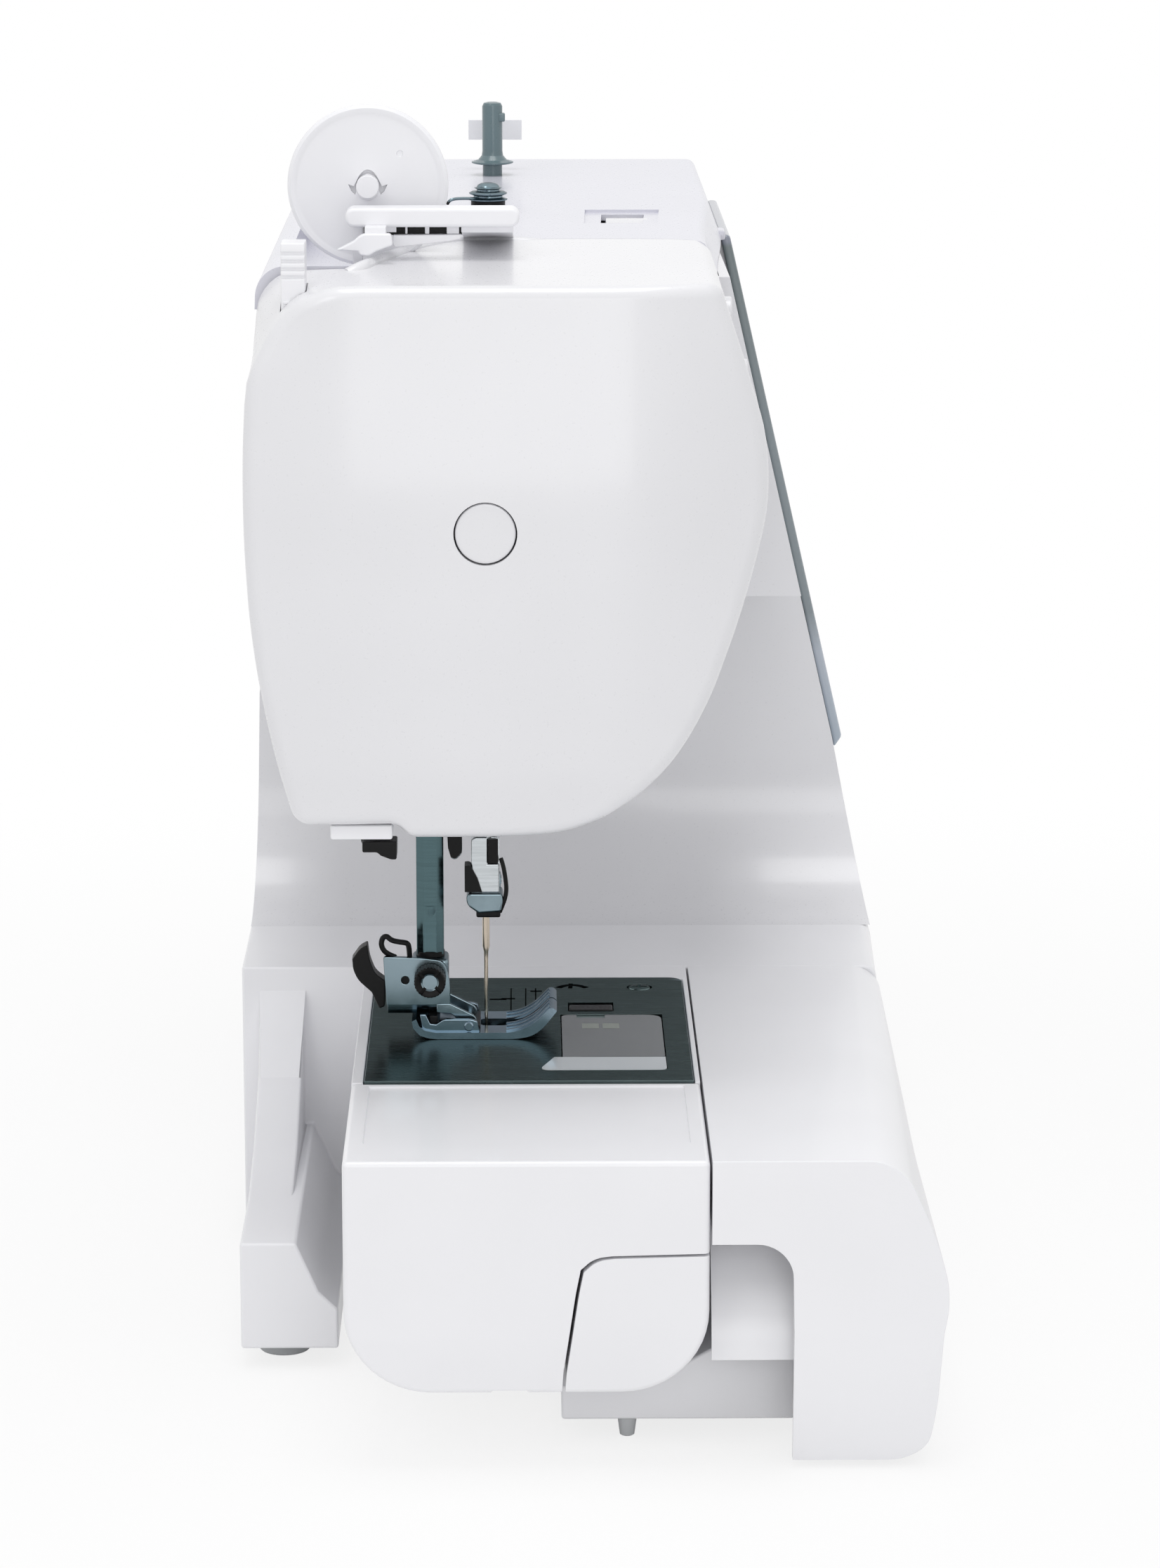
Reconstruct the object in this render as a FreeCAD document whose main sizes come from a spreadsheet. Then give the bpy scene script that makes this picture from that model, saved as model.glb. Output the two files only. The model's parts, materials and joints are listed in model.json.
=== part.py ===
import FreeCAD, Part
import Sketcher
import os
import re

# A computerised free-arm sewing machine, in millimetres.
# The pieces are laid out in machine coordinates: X runs from the free end of the arm to the
# handwheel, Y is counted from the middle of the free arm with the user's side negative, and Z
# is the height over the table. seat() moves them into the frame of the whole machine, whose
# origin is the middle of its underside.

SIZES = {
    # whole machine
    "length": 405, "front_reach": 107, "rear_reach": 82, "bed_height": 82, "top_height": 295.5,
    "base_start": 190, "column_width": 111.7, "lid_depth": 11.5, "base_underside": 5.3,
    # walls and clearances
    "wall": 2.5, "seam": 0.3, "run_fit": 0.05, "play": 0.3, "slot_play": 0.6,
    # head outline
    "face_length": 78, "face_gap": 6, "head_reach": 43, "head_lift": 73, "head_tall": 140.5,
    "head_top_front": 49.5, "head_wide_front": 62.8, "wide_rise": 35,
    "cheek_front": 55.1, "cheek_rise": 26, "jaw_front": 41.1, "jaw_rise": 18,
    "chin_front": 15, "chin_mid_front": 25.7, "chin_rise": 9,
    "chin_rear": 53, "jaw_rear": 64.1, "head_rear_swell": 1.8, "head_rear_rise": 54,
    "head_top_inset": 0.5, "head_crown": 18,
    "cheek_round": 60, "jaw_round": 60, "chin_round": 16, "heel_round": 10, "brow_round": 4,
    "face_lean": 5, "face_lean_rise": 15, "face_tuck": 4, "temple_front": 42, "temple_flat": 20,
    "temple_depth": 3, "temple_setback": 15, "face_side_depth": 7, "face_side_flat": 50,
    "cap_pocket": 0.6, "cap_pocket_start": 14.5, "cap_pocket_end": 67.8, "cap_pocket_side": 41.5,
    "face_cap_radius": 7.75, "face_cap_y": 10.1, "face_cap_rise": 77.4, "face_cap_thick": 2,
    # arm and column outline
    "arm_rise": 40, "brow_front": 57.8, "panel_foot_step": 9.5, "panel_foot_rise": 49,
    "column_foot_inset": 4.5, "lid_rear_inset": 12, "arm_rear_inset": 10, "arm_rear_drop": 44,
    "column_hip_inset": 6, "column_rear_inset": 1.5, "column_rear_rise": 63, "column_foot_radius": 38,
    "lid_top_front": 53.5, "lid_round": 8, "lid_front_round": 3,
    # fascia
    "panel_inset": 0.7, "panel_margin": 9, "panel_thick": 3, "panel_lip": 3.5, "panel_drop": 0.6,
    "window_thick": 1, "window_inset": 24, "window_margin": 18, "window_drop": 22, "window_tall": 30,
    # base
    "bed_lip_inset": 14, "bed_flank_inset": 3.5, "bed_flank_height": 60.5, "bed_wide_height": 46,
    "bed_tuck_inset": 1.8, "bed_tuck_height": 36, "bed_skirt_inset": 3.2, "bed_skirt_height": 14,
    "bed_hem_inset": 6.5, "bed_lip_round": 5,
    "front_runner_start": 23.5, "runner_inner_y": 8.8, "runner_outer_y": 69, "runner_height": 26,
    "runner_groove_y": 30, "runner_groove_height": 14.5, "runner_ramp": 57,
    "rear_runner_start": 79, "rear_runner_height": 35, "rear_runner_inset": 5,
    "rear_runner_width": 15, "rear_runner_gap": 4.5, "rear_runner_toe_height": 16.4, "rear_ramp_drop": 7,
    "floor_thick": 3, "foot_radius": 7, "cone_foot_radius": 5, "cone_foot_tip": 3.4,
    "foot_inset": 22, "front_foot_inset": 27, "rear_foot_inset": 16, "cone_foot_y": 24.8,
    # free arm
    "arm_front": 45.9, "arm_back": 46.3, "arm_thick": 61.5, "arm_round": 22, "cap_gap": 0.4,
    "corner_edge": 12.4, "corner_top": 56.6, "corner_depth": 40,
    # extension table
    "table_skirt": 1.8, "table_end_wall": 3, "arch_side": 67.4, "arch_top": 60, "arch_lip": 2,
    # needle plate and covers
    "plate_margin": 11.3, "plate_inset": 14.4, "plate_front": 44.2, "plate_back": 42.9,
    "plate_thick": 2.2, "plate_rise": 0.5, "plate_screw_radius": 3.3, "plate_screw_inset": 10.6,
    "plate_screw_y": 32,
    "door_lead": 31.7, "door_reach": 22.2, "door_rear": 9.7, "door_front": 37.3, "door_thick": 1.9,
    "latch_gap": 3.6, "latch_length": 5.8, "latch_rear": 11.9, "latch_front": 24, "latch_travel": 3,
    "latch_stem": 5,
    # needle, its bar and the crank that drives them
    "needle_x": 122, "needle_y": 11, "needle_radius": 0.6, "shank_radius": 1, "tip_gap": 0.4,
    "blade_length": 21.6, "socket_depth": 11, "clamp_lift": 33, "clamp_tall": 14,
    "clamp_radius": 4.3, "bar_radius": 3, "bar_stand": 10, "rod_block_rise": 52,
    "rod_block_tall": 12, "rod_block_radius": 6, "rod_gap": 4.1, "rod_thick": 2.8,
    "rod_eye_radius": 6,
    "shaft_radius": 5, "shaft_drop": 34, "crank_throw": 15.5, "crank_radius": 17, "crank_gap": 12,
    "crank_thick": 7, "crank_pin_radius": 3, "crank_pin_gap": 3.3,
    "screw_head_radius": 4.3, "screw_head_length": 5, "screw_radius": 1.5, "clamp_screw_rise": 8,
    # take-up lever
    "takeup_gap": 8.4, "takeup_thick": 3, "takeup_y": 16, "takeup_rise": 67, "takeup_reach": 36,
    "takeup_hub": 5.5, "takeup_pin": 2.5, "takeup_round": 2.5,
    # presser
    "presser_y": 26.2, "presser_radius": 3.75, "presser_bar_stand": 3,
    "collar_gap": 0.6, "collar_thick": 2.4, "collar_radius": 6,
    "spring_radius": 5.6, "spring_wire": 0.9,
    "ankle_gap": 6.5, "ankle_thick": 2.7, "ankle_front": 20.6, "ankle_rear": 39.1, "ankle_lift": 9,
    "ankle_tall": 13.5, "ankle_base_thick": 3.3, "ankle_base_reach": 5,
    "foot_screw_rise": 7.6,
    "release_thick": 5.5,
    "sole_half": 10, "sole_front": 1.5, "sole_heel": 36, "sole_thick": 2,
    "sole_gap": 0.5, "toe_tip": 8.3, "toe_lift": 9, "foot_pin_y": 27, "foot_pin_radius": 0.8,
    "heel_relief": 1.6, "foot_slot": 7, "ear_lift": 4.6,
    "lifter_gap": 7.6, "lifter_y": 40, "lifter_rise": 10, "lifter_hub": 6, "lifter_thick": 7,
    "lifter_drop": 22, "lifter_pin": 2.5,
    # buttonhole lever
    "tab_inset": 7.5, "tab_width": 17.5, "tab_front": 34.5, "tab_rear": 50.5, "tab_drop": 5.5,
    "tab_thick": 4, "stem_inset": 18, "stem_thick": 3, "stem_front": 38, "stem_rear": 47, "stem_rise": 41,
    # hook and feed
    "hook_lead": 8, "hook_y": 13, "hook_radius": 23.5, "hook_wall": 2.2, "hook_drop": 10, "hook_tall": 16,
    "hook_shaft": 4, "hook_block_thick": 5, "hook_gear_radius": 12, "hook_gear_thick": 10,
    "case_bore": 11.6, "case_floor": 1.6, "bobbin_radius": 10.25, "bobbin_core": 5, "bobbin_height": 11.5,
    "bobbin_flange": 1.2,
    "lower_drop": 15, "lower_radius": 4, "lower_lead": 10, "drive_gear_length": 12,
    "dog_half": 6.5, "dog_front": 1, "dog_rear": 21,
    "dog_gap": 4.6, "feed_swing": 1.6, "needle_slot_long": 9, "needle_slot_wide": 2.4,
    "bridge_drop": 5.4, "bridge_thick": 1.8, "feed_bar_drop": 22,
    # drives
    "pulley_radius": 20, "pulley_width": 12, "belt_thick": 1.6, "belt_margin": 1.5,
    "drive_gap": 10, "drive_width": 8, "motor_y": 45, "motor_lift": 7.7, "motor_gap": 6,
    "motor_margin": 7, "motor_length": 44, "motor_pulley_radius": 7, "motor_shaft_radius": 3,
    "wheel_width": 17.4, "wheel_gap": 0.6, "wheel_radius": 31, "wheel_dish": 24, "wheel_dish_depth": 5,
    # frame
    "beam_inset": 16, "belt_room": 5, "beam_drop": 6, "beam_tall": 16, "head_plate_gap": 20,
    "head_plate_thick": 8, "bracket_reach": 8, "bracket_rise": 3, "bracket_thick": 8,
    "upper_bush_rise": 21, "bush_depth": 8, "top_bush_rise": 6, "top_bush_depth": 12,
    "post_thick": 24, "post_margin": 15, "bed_beam_lift": 13.5, "bed_beam_gap": 6,
    "bed_beam_room": 2.5, "bed_beam_lead": 11,
    # top of the machine
    "well_start": 95, "well_end": 228, "well_front": 8.5, "well_inset": 8, "well_rise": 4,
    "notch_start": 92, "notch_front": 5,
    "spool_y": 41.4, "spool_rise": 25, "spool_pin_radius": 3, "spool_pin_start": 121,
    "spool_post_start": 220, "spool_post_thick": 6, "spool_cap_radius": 21.3, "spool_cap_start": 125,
    "spool_cap_thick": 3, "spool_hub_radius": 5.5, "spool_hub_length": 5,
    "guide_start": 106, "guide_end": 114, "guide_front": 1.3, "guide_rear": 46.5, "guide_rise": 16,
    "guide_thick": 5, "guide_post_front": 9, "guide_post_width": 8, "guide_post_rear": 42.5,
    "guard_start": 98.4, "guard_thick": 2.4, "guard_rear": 50, "guard_front": 16, "guard_drop": 3,
    "tens_x": 230, "tens_y": 10.4, "tens_radius": 5.6, "tens_base": 4, "tens_disc": 2.2,
    "tens_pin": 1.5,
    "winder_inset": 52, "winder_y": 9.8, "winder_radius": 3, "winder_stand": 22.5,
    "winder_flange_radius": 6.4, "winder_flange_rise": 2.7, "winder_flange_thick": 1.2,
    "winder_foot_drop": 14,
    "stopper_gap": 15, "stopper_thick": 4, "stopper_front": 0.8, "stopper_rear": 17.3,
    "stopper_rise": 9.5, "stopper_tall": 6,
    "window_pocket": 0.8, "pocket_start": 196, "pocket_end": 232, "pocket_rear": 17.8,
    "pocket_front": 39.6, "dial_x": 214, "dial_radius": 12, "dial_drop": 0.8, "dial_front": 35,
    "dial_rear": 23, "dial_axle": 2.5,
    "cutter_inset": 14, "cutter_width": 10, "cutter_front": 55.5, "cutter_rear": 61.7, "cutter_stand": 9,
    # controls and sockets
    "button_gap": 24, "button_radius": 5, "start_drop": 8, "button_pitch": 17,
    "start_face": 56, "reverse_face": 60.4, "button_length": 9,
    "slider_gap": 16, "slider_length": 6, "slider_travel": 17, "slider_drop": 11, "slider_tall": 8,
    "slider_proud": 0.8, "slider_thick": 2.6, "slider_neck": 5, "slider_neck_inset": 2.4,
    "rocker_y": 62, "rocker_width": 12, "rocker_height": 48, "rocker_tall": 20, "rocker_inset": 2.6,
    "rocker_depth": 5,
    "inlet_gap": 6, "inlet_width": 26, "inlet_low": 32, "inlet_high": 58, "inlet_depth": 14,
    "inlet_wall": 2, "inlet_back": 3,
    "lever_inset": 42, "lever_width": 8, "lever_low": 30, "lever_tall": 12, "lever_travel": 12,
    "board_lead": 8, "board_margin": 14, "board_thick": 1.6, "board_drop": 82,
}

# Places and heights that follow from the sizes above.
PLACES = {
    # along the machine
    "wheel_start": "length - wheel_width", "body_end": "wheel_start - wheel_gap",
    "column_start": "body_end - column_width",
    "panel_start": "column_start + panel_inset", "panel_end": "body_end - panel_margin",
    "window_start": "panel_start + window_inset", "window_end": "panel_end - window_margin",
    "board_start": "window_start - board_lead", "board_end": "window_end - board_margin",
    "motor_start": "body_end - motor_margin - motor_length",
    "drive_start": "motor_start - motor_gap - drive_width",
    "pulley_start": "drive_start - drive_gap - pulley_width",
    "frame_column_end": "body_end - post_margin", "frame_column": "frame_column_end - post_thick",
    "lever_x": "body_end - lever_inset", "rocker_start": "body_end - rocker_inset",
    "winder_x": "body_end - winder_inset", "stopper_start": "winder_x + stopper_gap",
    "plate_end": "base_start - plate_inset", "plate_screw_x": "plate_end - plate_screw_inset",
    # along the head and the arm, from the needle
    "face_end": "needle_x + face_gap", "face_start": "face_end - face_length",
    "head_end": "needle_x + head_reach", "head_plate": "needle_x + head_plate_gap",
    "bracket_start": "needle_x - bracket_reach", "rod_plane": "needle_x + rod_gap",
    "crank_start": "needle_x + crank_gap", "crank_pin_start": "rod_plane + crank_pin_gap",
    "takeup_x": "needle_x + takeup_gap", "lifter_x": "needle_x + lifter_gap",
    "ankle_x": "needle_x - ankle_gap", "ankle_foot_end": "needle_x + ankle_base_reach",
    "sole_start": "needle_x - sole_half", "sole_end": "needle_x + sole_half",
    "dog_start": "needle_x - dog_half", "dog_end": "needle_x + dog_half",
    "hook_x": "needle_x - hook_lead", "lower_start": "hook_x - lower_lead",
    "door_start": "hook_x - door_lead", "door_end": "hook_x + door_reach",
    "latch_start": "door_end + latch_gap",
    "plate_start": "door_start - plate_margin", "cap_end": "plate_start - cap_gap",
    "bed_beam_start": "plate_start - bed_beam_lead",
    "slider_start": "needle_x + slider_gap", "button_x": "needle_x + button_gap",
    "tab_start": "face_start + tab_inset", "tab_end": "tab_start + tab_width",
    "stem_start": "face_start + stem_inset",
    "cutter_start": "face_start + cutter_inset", "cutter_end": "cutter_start + cutter_width",
    # towards the user's side
    "bed_lip_front": "front_reach - bed_lip_inset", "bed_flank_front": "front_reach - bed_flank_inset",
    "bed_tuck_front": "front_reach - bed_tuck_inset", "bed_skirt_front": "front_reach - bed_skirt_inset",
    "bed_hem_front": "front_reach - bed_hem_inset",
    "column_foot_front": "front_reach - column_foot_inset",
    "panel_foot_front": "column_foot_front - panel_foot_step",
    # towards the rear
    "column_rear": "rear_reach - column_rear_inset", "column_hip_rear": "rear_reach - column_hip_inset",
    "arm_rear": "rear_reach - arm_rear_inset", "lid_rear": "rear_reach - lid_rear_inset",
    "head_rear": "lid_rear + head_rear_swell", "head_top_rear": "lid_rear - head_top_inset",
    "well_rear": "lid_rear - well_inset",
    "beam_rear": "lid_rear - beam_inset", "beam_front": "needle_y + pulley_radius + belt_room",
    "bed_beam_front": "needle_y + pulley_radius + bed_beam_room",
    "bed_beam_rear": "arm_back - 2 * wall - play",
    "rear_runner_outer": "rear_reach - rear_runner_inset",
    "rear_runner_top": "rear_runner_outer - rear_runner_width",
    "rear_runner_toe": "arm_back + rear_runner_gap",
    # heights of the bed and what stands on it
    "table_inner_low": "arch_top + arch_lip", "rear_ramp": "bed_height - rear_ramp_drop",
    "panel_foot_height": "bed_height + panel_foot_rise",
    "column_rear_height": "bed_height + column_rear_rise",
    "needle_tip": "bed_height + tip_gap", "needle_shoulder": "needle_tip + blade_length",
    "clamp_low": "bed_height + clamp_lift", "clamp_high": "clamp_low + clamp_tall",
    "needle_socket": "clamp_low + socket_depth", "clamp_screw_height": "clamp_low + clamp_screw_rise",
    "ankle_low": "bed_height + ankle_lift", "ankle_high": "ankle_low + ankle_tall",
    "ankle_foot_low": "ankle_low - ankle_base_thick", "foot_screw_height": "ankle_low + foot_screw_rise",
    "presser_low": "ankle_low + 1", "toe_height": "bed_height + toe_lift",
    "foot_ear": "bed_height + ear_lift",
    # heights under the plate
    "hook_high": "bed_height - hook_drop", "hook_low": "hook_high - hook_tall",
    "lower_height": "hook_low - lower_drop",
    "motor_radius": "lower_height - base_underside - floor_thick - motor_lift",
    "inlet_y": "motor_y - motor_radius - inlet_gap - inlet_width / 2",
    "bridge_low": "bed_height - bridge_drop", "bridge_high": "bridge_low + bridge_thick",
    "feed_bar_low": "bed_height - feed_bar_drop",
    "arm_underside": "bed_height - arm_thick",
    "bed_beam_low": "arm_underside + bed_beam_lift", "bed_beam_high": "hook_low - bed_beam_gap",
    # heights of the head
    "head_bottom": "bed_height + head_lift",
    "head_stretch": "(top_height - head_bottom) / head_tall",
    "chin_mid_height": "head_bottom + chin_rise * head_stretch",
    "jaw_height": "chin_mid_height + jaw_rise * head_stretch",
    "cheek_height": "jaw_height + cheek_rise * head_stretch",
    "head_wide_height": "cheek_height + wide_rise * head_stretch",
    "head_rear_height": "jaw_height + head_rear_rise * head_stretch",
    "face_lean_low": "head_bottom + face_lean_rise", "face_cap_height": "head_bottom + face_cap_rise",
    "arm_bottom": "head_bottom + arm_rise", "takeup_height": "head_bottom + takeup_rise * head_stretch",
    "bracket_low": "head_bottom + bracket_rise", "bracket_high": "bracket_low + bracket_thick",
    "lifter_height": "bracket_low + lifter_rise", "lifter_tip": "head_bottom - lifter_drop",
    "upper_bush_low": "bracket_high + upper_bush_rise", "upper_bush_high": "upper_bush_low + bush_depth",
    "presser_top": "upper_bush_high + presser_bar_stand",
    "collar_low": "bracket_high + collar_gap", "spring_top": "upper_bush_low - play",
    "tab_low": "head_bottom - tab_drop", "stem_top": "head_bottom + stem_rise",
    "rod_block_low": "head_bottom + rod_block_rise * head_stretch",
    "rod_block_high": "rod_block_low + rod_block_tall",
    # heights of the lid and what hangs from it or stands on it
    "lid_seam": "top_height - lid_depth", "arm_rear_height": "lid_seam - arm_rear_drop",
    "panel_top": "lid_seam - panel_drop",
    "window_high": "lid_seam - window_drop", "window_low": "window_high - window_tall",
    "board_high": "window_high", "board_low": "board_high - board_drop",
    "shaft_height": "lid_seam - shaft_drop",
    "top_bush_high": "shaft_height + top_bush_rise", "top_bush_low": "top_bush_high - top_bush_depth",
    "needle_bar_top": "top_bush_high + bar_stand",
    "beam_high": "lid_seam - beam_drop", "beam_low": "beam_high - beam_tall",
    "well_floor": "lid_seam + well_rise", "spool_height": "well_floor + spool_rise",
    "guide_low": "well_floor + guide_rise", "guide_high": "guide_low + guide_thick",
    "guard_high": "guide_low - guard_drop",
    "winder_top": "top_height + winder_stand", "winder_flange_low": "top_height + winder_flange_rise",
    "winder_foot": "lid_seam - winder_foot_drop",
    "stopper_low": "top_height + stopper_rise", "stopper_high": "stopper_low + stopper_tall",
    "dial_height": "lid_seam - dial_drop", "cutter_top": "top_height + cutter_stand",
    "start_height": "lid_seam - start_drop", "reverse_height": "start_height - button_pitch",
    "slider_high": "head_wide_height - slider_drop", "slider_low": "slider_high - slider_tall",
    "slider_face": "head_wide_front + slider_proud",
    "slider_neck_high": "slider_high - slider_neck_inset",
    "slider_neck_low": "slider_low + slider_neck_inset",
}

doc = FreeCAD.newDocument("sewing_machine")
sheet = doc.addObject("Spreadsheet::Sheet", "sizes")
nodes = []


def fill_sheet():
    """Sizes go in as numbers and places as formulas, each under its own alias."""
    cells = {name: str(number) for name, number in SIZES.items()}
    cells.update((name, "=" + formula) for name, formula in PLACES.items())
    for row, name in enumerate(cells, 1):
        sheet.setAlias(f"B{row}", name)
    for row, (name, content) in enumerate(cells.items(), 1):
        sheet.set(f"A{row}", name)
        sheet.set(f"B{row}", content)
    doc.recompute()


def full(text):
    """Write each bare name as a reference to its cell."""
    def refer(match):
        known = match[0] in SIZES or match[0] in PLACES
        return "sizes." + match[0] if known else match[0]
    return re.sub(r"[a-z]\w*", refer, text)


def value(text):
    return float(sheet.evalExpression(full(text)))


def bind(thing, **texts):
    for name, text in texts.items():
        thing.setExpression(name, full(text))


TURN = {
    "Z": FreeCAD.Rotation(),
    "X": FreeCAD.Rotation(FreeCAD.Vector(0, 1, 0), 90),
    "Y": FreeCAD.Rotation(FreeCAD.Vector(1, 0, 0), -90),
}


def seat(thing, x="0", y="0", z="0", turn=None):
    """Place a piece by its machine coordinates."""
    if turn is not None:
        thing.Placement = FreeCAD.Placement(FreeCAD.Vector(), turn)
    thing.setExpression("Placement.Base.x", full(f"({x}) - length / 2"))
    thing.setExpression("Placement.Base.y", full(f"({y}) + (front_reach - rear_reach) / 2"))
    thing.setExpression("Placement.Base.z", full(z))


def box(name, x, y, z):
    """A block between two limits on each axis."""
    thing = doc.addObject("Part::Box", name)
    bind(thing, Length=f"({x[1]}) - ({x[0]})", Width=f"({y[1]}) - ({y[0]})", Height=f"({z[1]}) - ({z[0]})")
    seat(thing, x[0], y[0], z[0])
    return thing


def along(axis, span, centre):
    """The start point of a piece that runs along an axis."""
    return {"X": (span[0], *centre), "Y": (centre[0], span[0], centre[1]), "Z": (*centre, span[0])}[axis]


def rod(name, axis, span, centre, radius):
    thing = doc.addObject("Part::Cylinder", name)
    bind(thing, Radius=radius, Height=f"({span[1]}) - ({span[0]})")
    seat(thing, *along(axis, span, centre), TURN[axis])
    return thing


def cone(name, axis, span, centre, radius, end_radius):
    thing = doc.addObject("Part::Cone", name)
    bind(thing, Radius1=radius, Radius2=end_radius, Height=f"({span[1]}) - ({span[0]})")
    seat(thing, *along(axis, span, centre), TURN[axis])
    return thing


def fuse(name, *things):
    whole = doc.addObject("Part::MultiFuse", name)
    whole.Shapes = list(things)
    return whole


def cut(name, base, *tools):
    whole = doc.addObject("Part::Cut", name)
    whole.Base = base
    whole.Tool = tools[0] if len(tools) == 1 else fuse(name + "_cuts", *tools)
    return whole


def common(name, first, second):
    whole = doc.addObject("Part::Common", name)
    whole.Base = first
    whole.Tool = second
    return whole


def outline_sketch(body, name, axis, outline):
    role = {"X": "YZ_Plane", "Y": "XZ_Plane", "Z": "XY_Plane"}[axis]
    plane = [feature for feature in body.Origin.OriginFeatures if feature.Role == role][0]
    sketch = body.newObject("Sketcher::SketchObject", name + "_sketch")
    sketch.AttachmentSupport = [(plane, "")]
    sketch.MapMode = "FlatFace"
    points = [FreeCAD.Vector(value(a), value(b), 0) for a, b in outline]
    count = len(points)
    for i in range(count):
        sketch.addGeometry(Part.LineSegment(points[i], points[(i + 1) % count]), False)
    for i in range(count):
        sketch.addConstraint(Sketcher.Constraint("Coincident", i, 2, (i + 1) % count, 1))
    for i, (a, b) in enumerate(outline):
        for kind, text, number in (("DistanceX", a, points[i].x), ("DistanceY", b, points[i].y)):
            where = sketch.addConstraint(Sketcher.Constraint(kind, -1, 1, i, 1, number))
            sketch.setExpression(f"Constraints[{where}]", full(text))
    return sketch, points


def corner_edges(shape, axis, points):
    """Names of the edges that run along the axis through the given corners of the outline."""
    names = []
    for number, edge in enumerate(shape.Edges, 1):
        ends = [vertex.Point for vertex in edge.Vertexes]
        if len(ends) != 2 or abs(getattr((ends[1] - ends[0]).normalize(), axis.lower())) < 0.999:
            continue
        flat = {"X": (ends[0].y, ends[0].z), "Y": (ends[0].x, ends[0].z), "Z": (ends[0].x, ends[0].y)}[axis]
        if any(abs(flat[0] - p.x) < 1e-4 and abs(flat[1] - p.y) < 1e-4 for p in points):
            names.append(f"Edge{number}")
    return names


def prism(name, axis, span, outline, rounds=(), wall=None, open_sides=()):
    """An outline drawn across an axis and padded along it, with rounded corners and hollowed if asked.

    rounds lists (corner numbers, radius); open_sides lists the sides, such as "+X", left open."""
    body = doc.addObject("PartDesign::Body", name)
    sketch, points = outline_sketch(body, name, axis, outline)
    pad = body.newObject("PartDesign::Pad", name + "_pad")
    pad.Profile = sketch
    pad.setExpression("Length", full(f"({span[1]}) - ({span[0]})"))
    pad.Reversed = axis == "Y"
    doc.recompute()
    last = pad
    for number, (corners, radius) in enumerate(rounds):
        chosen = corner_edges(last.Shape, axis, [points[c] for c in corners])
        fillet = body.newObject("PartDesign::Fillet", f"{name}_round_{number}")
        fillet.Base = (last, chosen)
        bind(fillet, Radius=radius)
        doc.recompute()
        last = fillet
    if wall:
        shell = body.newObject("PartDesign::Thickness", name + "_shell")
        shell.Base = (last, open_faces(last.Shape, open_sides))
        shell.Join = 1
        shell.Reversed = True
        bind(shell, Value=wall)
    start = {"X": (span[0], "0", "0"), "Y": ("0", span[0], "0"), "Z": ("0", "0", span[0])}[axis]
    seat(body, *start)
    return body


def open_faces(shape, sides):
    """Names of the outermost flat faces on the given sides."""
    names = []
    for side in sides:
        sign = 1 if side[0] == "+" else -1
        axis = side[1].lower()
        best = max(sign * getattr(face.CenterOfMass, axis) for face in shape.Faces
                   if sign * getattr(face.normalAt(0, 0), axis) > 0.99)
        for number, face in enumerate(shape.Faces, 1):
            faces_out = sign * getattr(face.normalAt(0, 0), axis) > 0.99
            if faces_out and abs(sign * getattr(face.CenterOfMass, axis) - best) < 1e-4:
                names.append(f"Face{number}")
    return names


def node(name, thing):
    thing.Label = name
    nodes.append(thing)


# Outlines that several covers share

def front_plane(height, proud="0"):
    """Y of the sloping front of the arm and column at a height, set out by proud."""
    slope = "(panel_foot_front - brow_front) / (lid_seam - panel_foot_height)"
    return f"-(brow_front + (lid_seam - ({height})) * {slope}) - ({proud})"


def head_outline(top):
    return [
        ("-head_top_front", top), ("-head_wide_front", "head_wide_height"),
        ("-cheek_front", "cheek_height"), ("-jaw_front", "jaw_height"),
        ("-chin_mid_front", "chin_mid_height"), ("-chin_front", "head_bottom"),
        ("chin_rear", "head_bottom"), ("jaw_rear", "jaw_height"),
        ("head_rear", "head_rear_height"), ("head_top_rear", top),
    ]


def head_outline_low():
    """The head below the lid seam, where its front is a little lower on the same slope."""
    slope = "(head_wide_front - head_top_front) / (top_height - head_wide_height)"
    points = head_outline("lid_seam")
    points[0] = (f"-head_top_front - (top_height - lid_seam) * {slope}", "lid_seam")
    return points


def bed_outline(rear, low):
    return [
        (rear, "bed_height"), ("-bed_lip_front", "bed_height"),
        ("-bed_flank_front", "bed_flank_height"), ("-front_reach", "bed_wide_height"),
        ("-bed_tuck_front", "bed_tuck_height"), ("-bed_skirt_front", "bed_skirt_height"),
        ("-bed_hem_front", low), (rear, low),
    ]


def arm_outline():
    return [
        ("-arm_front", "bed_height"), ("-arm_front", "arm_underside"),
        ("arm_back", "arm_underside"), ("arm_back", "bed_height"),
    ]


# Covers

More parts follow.
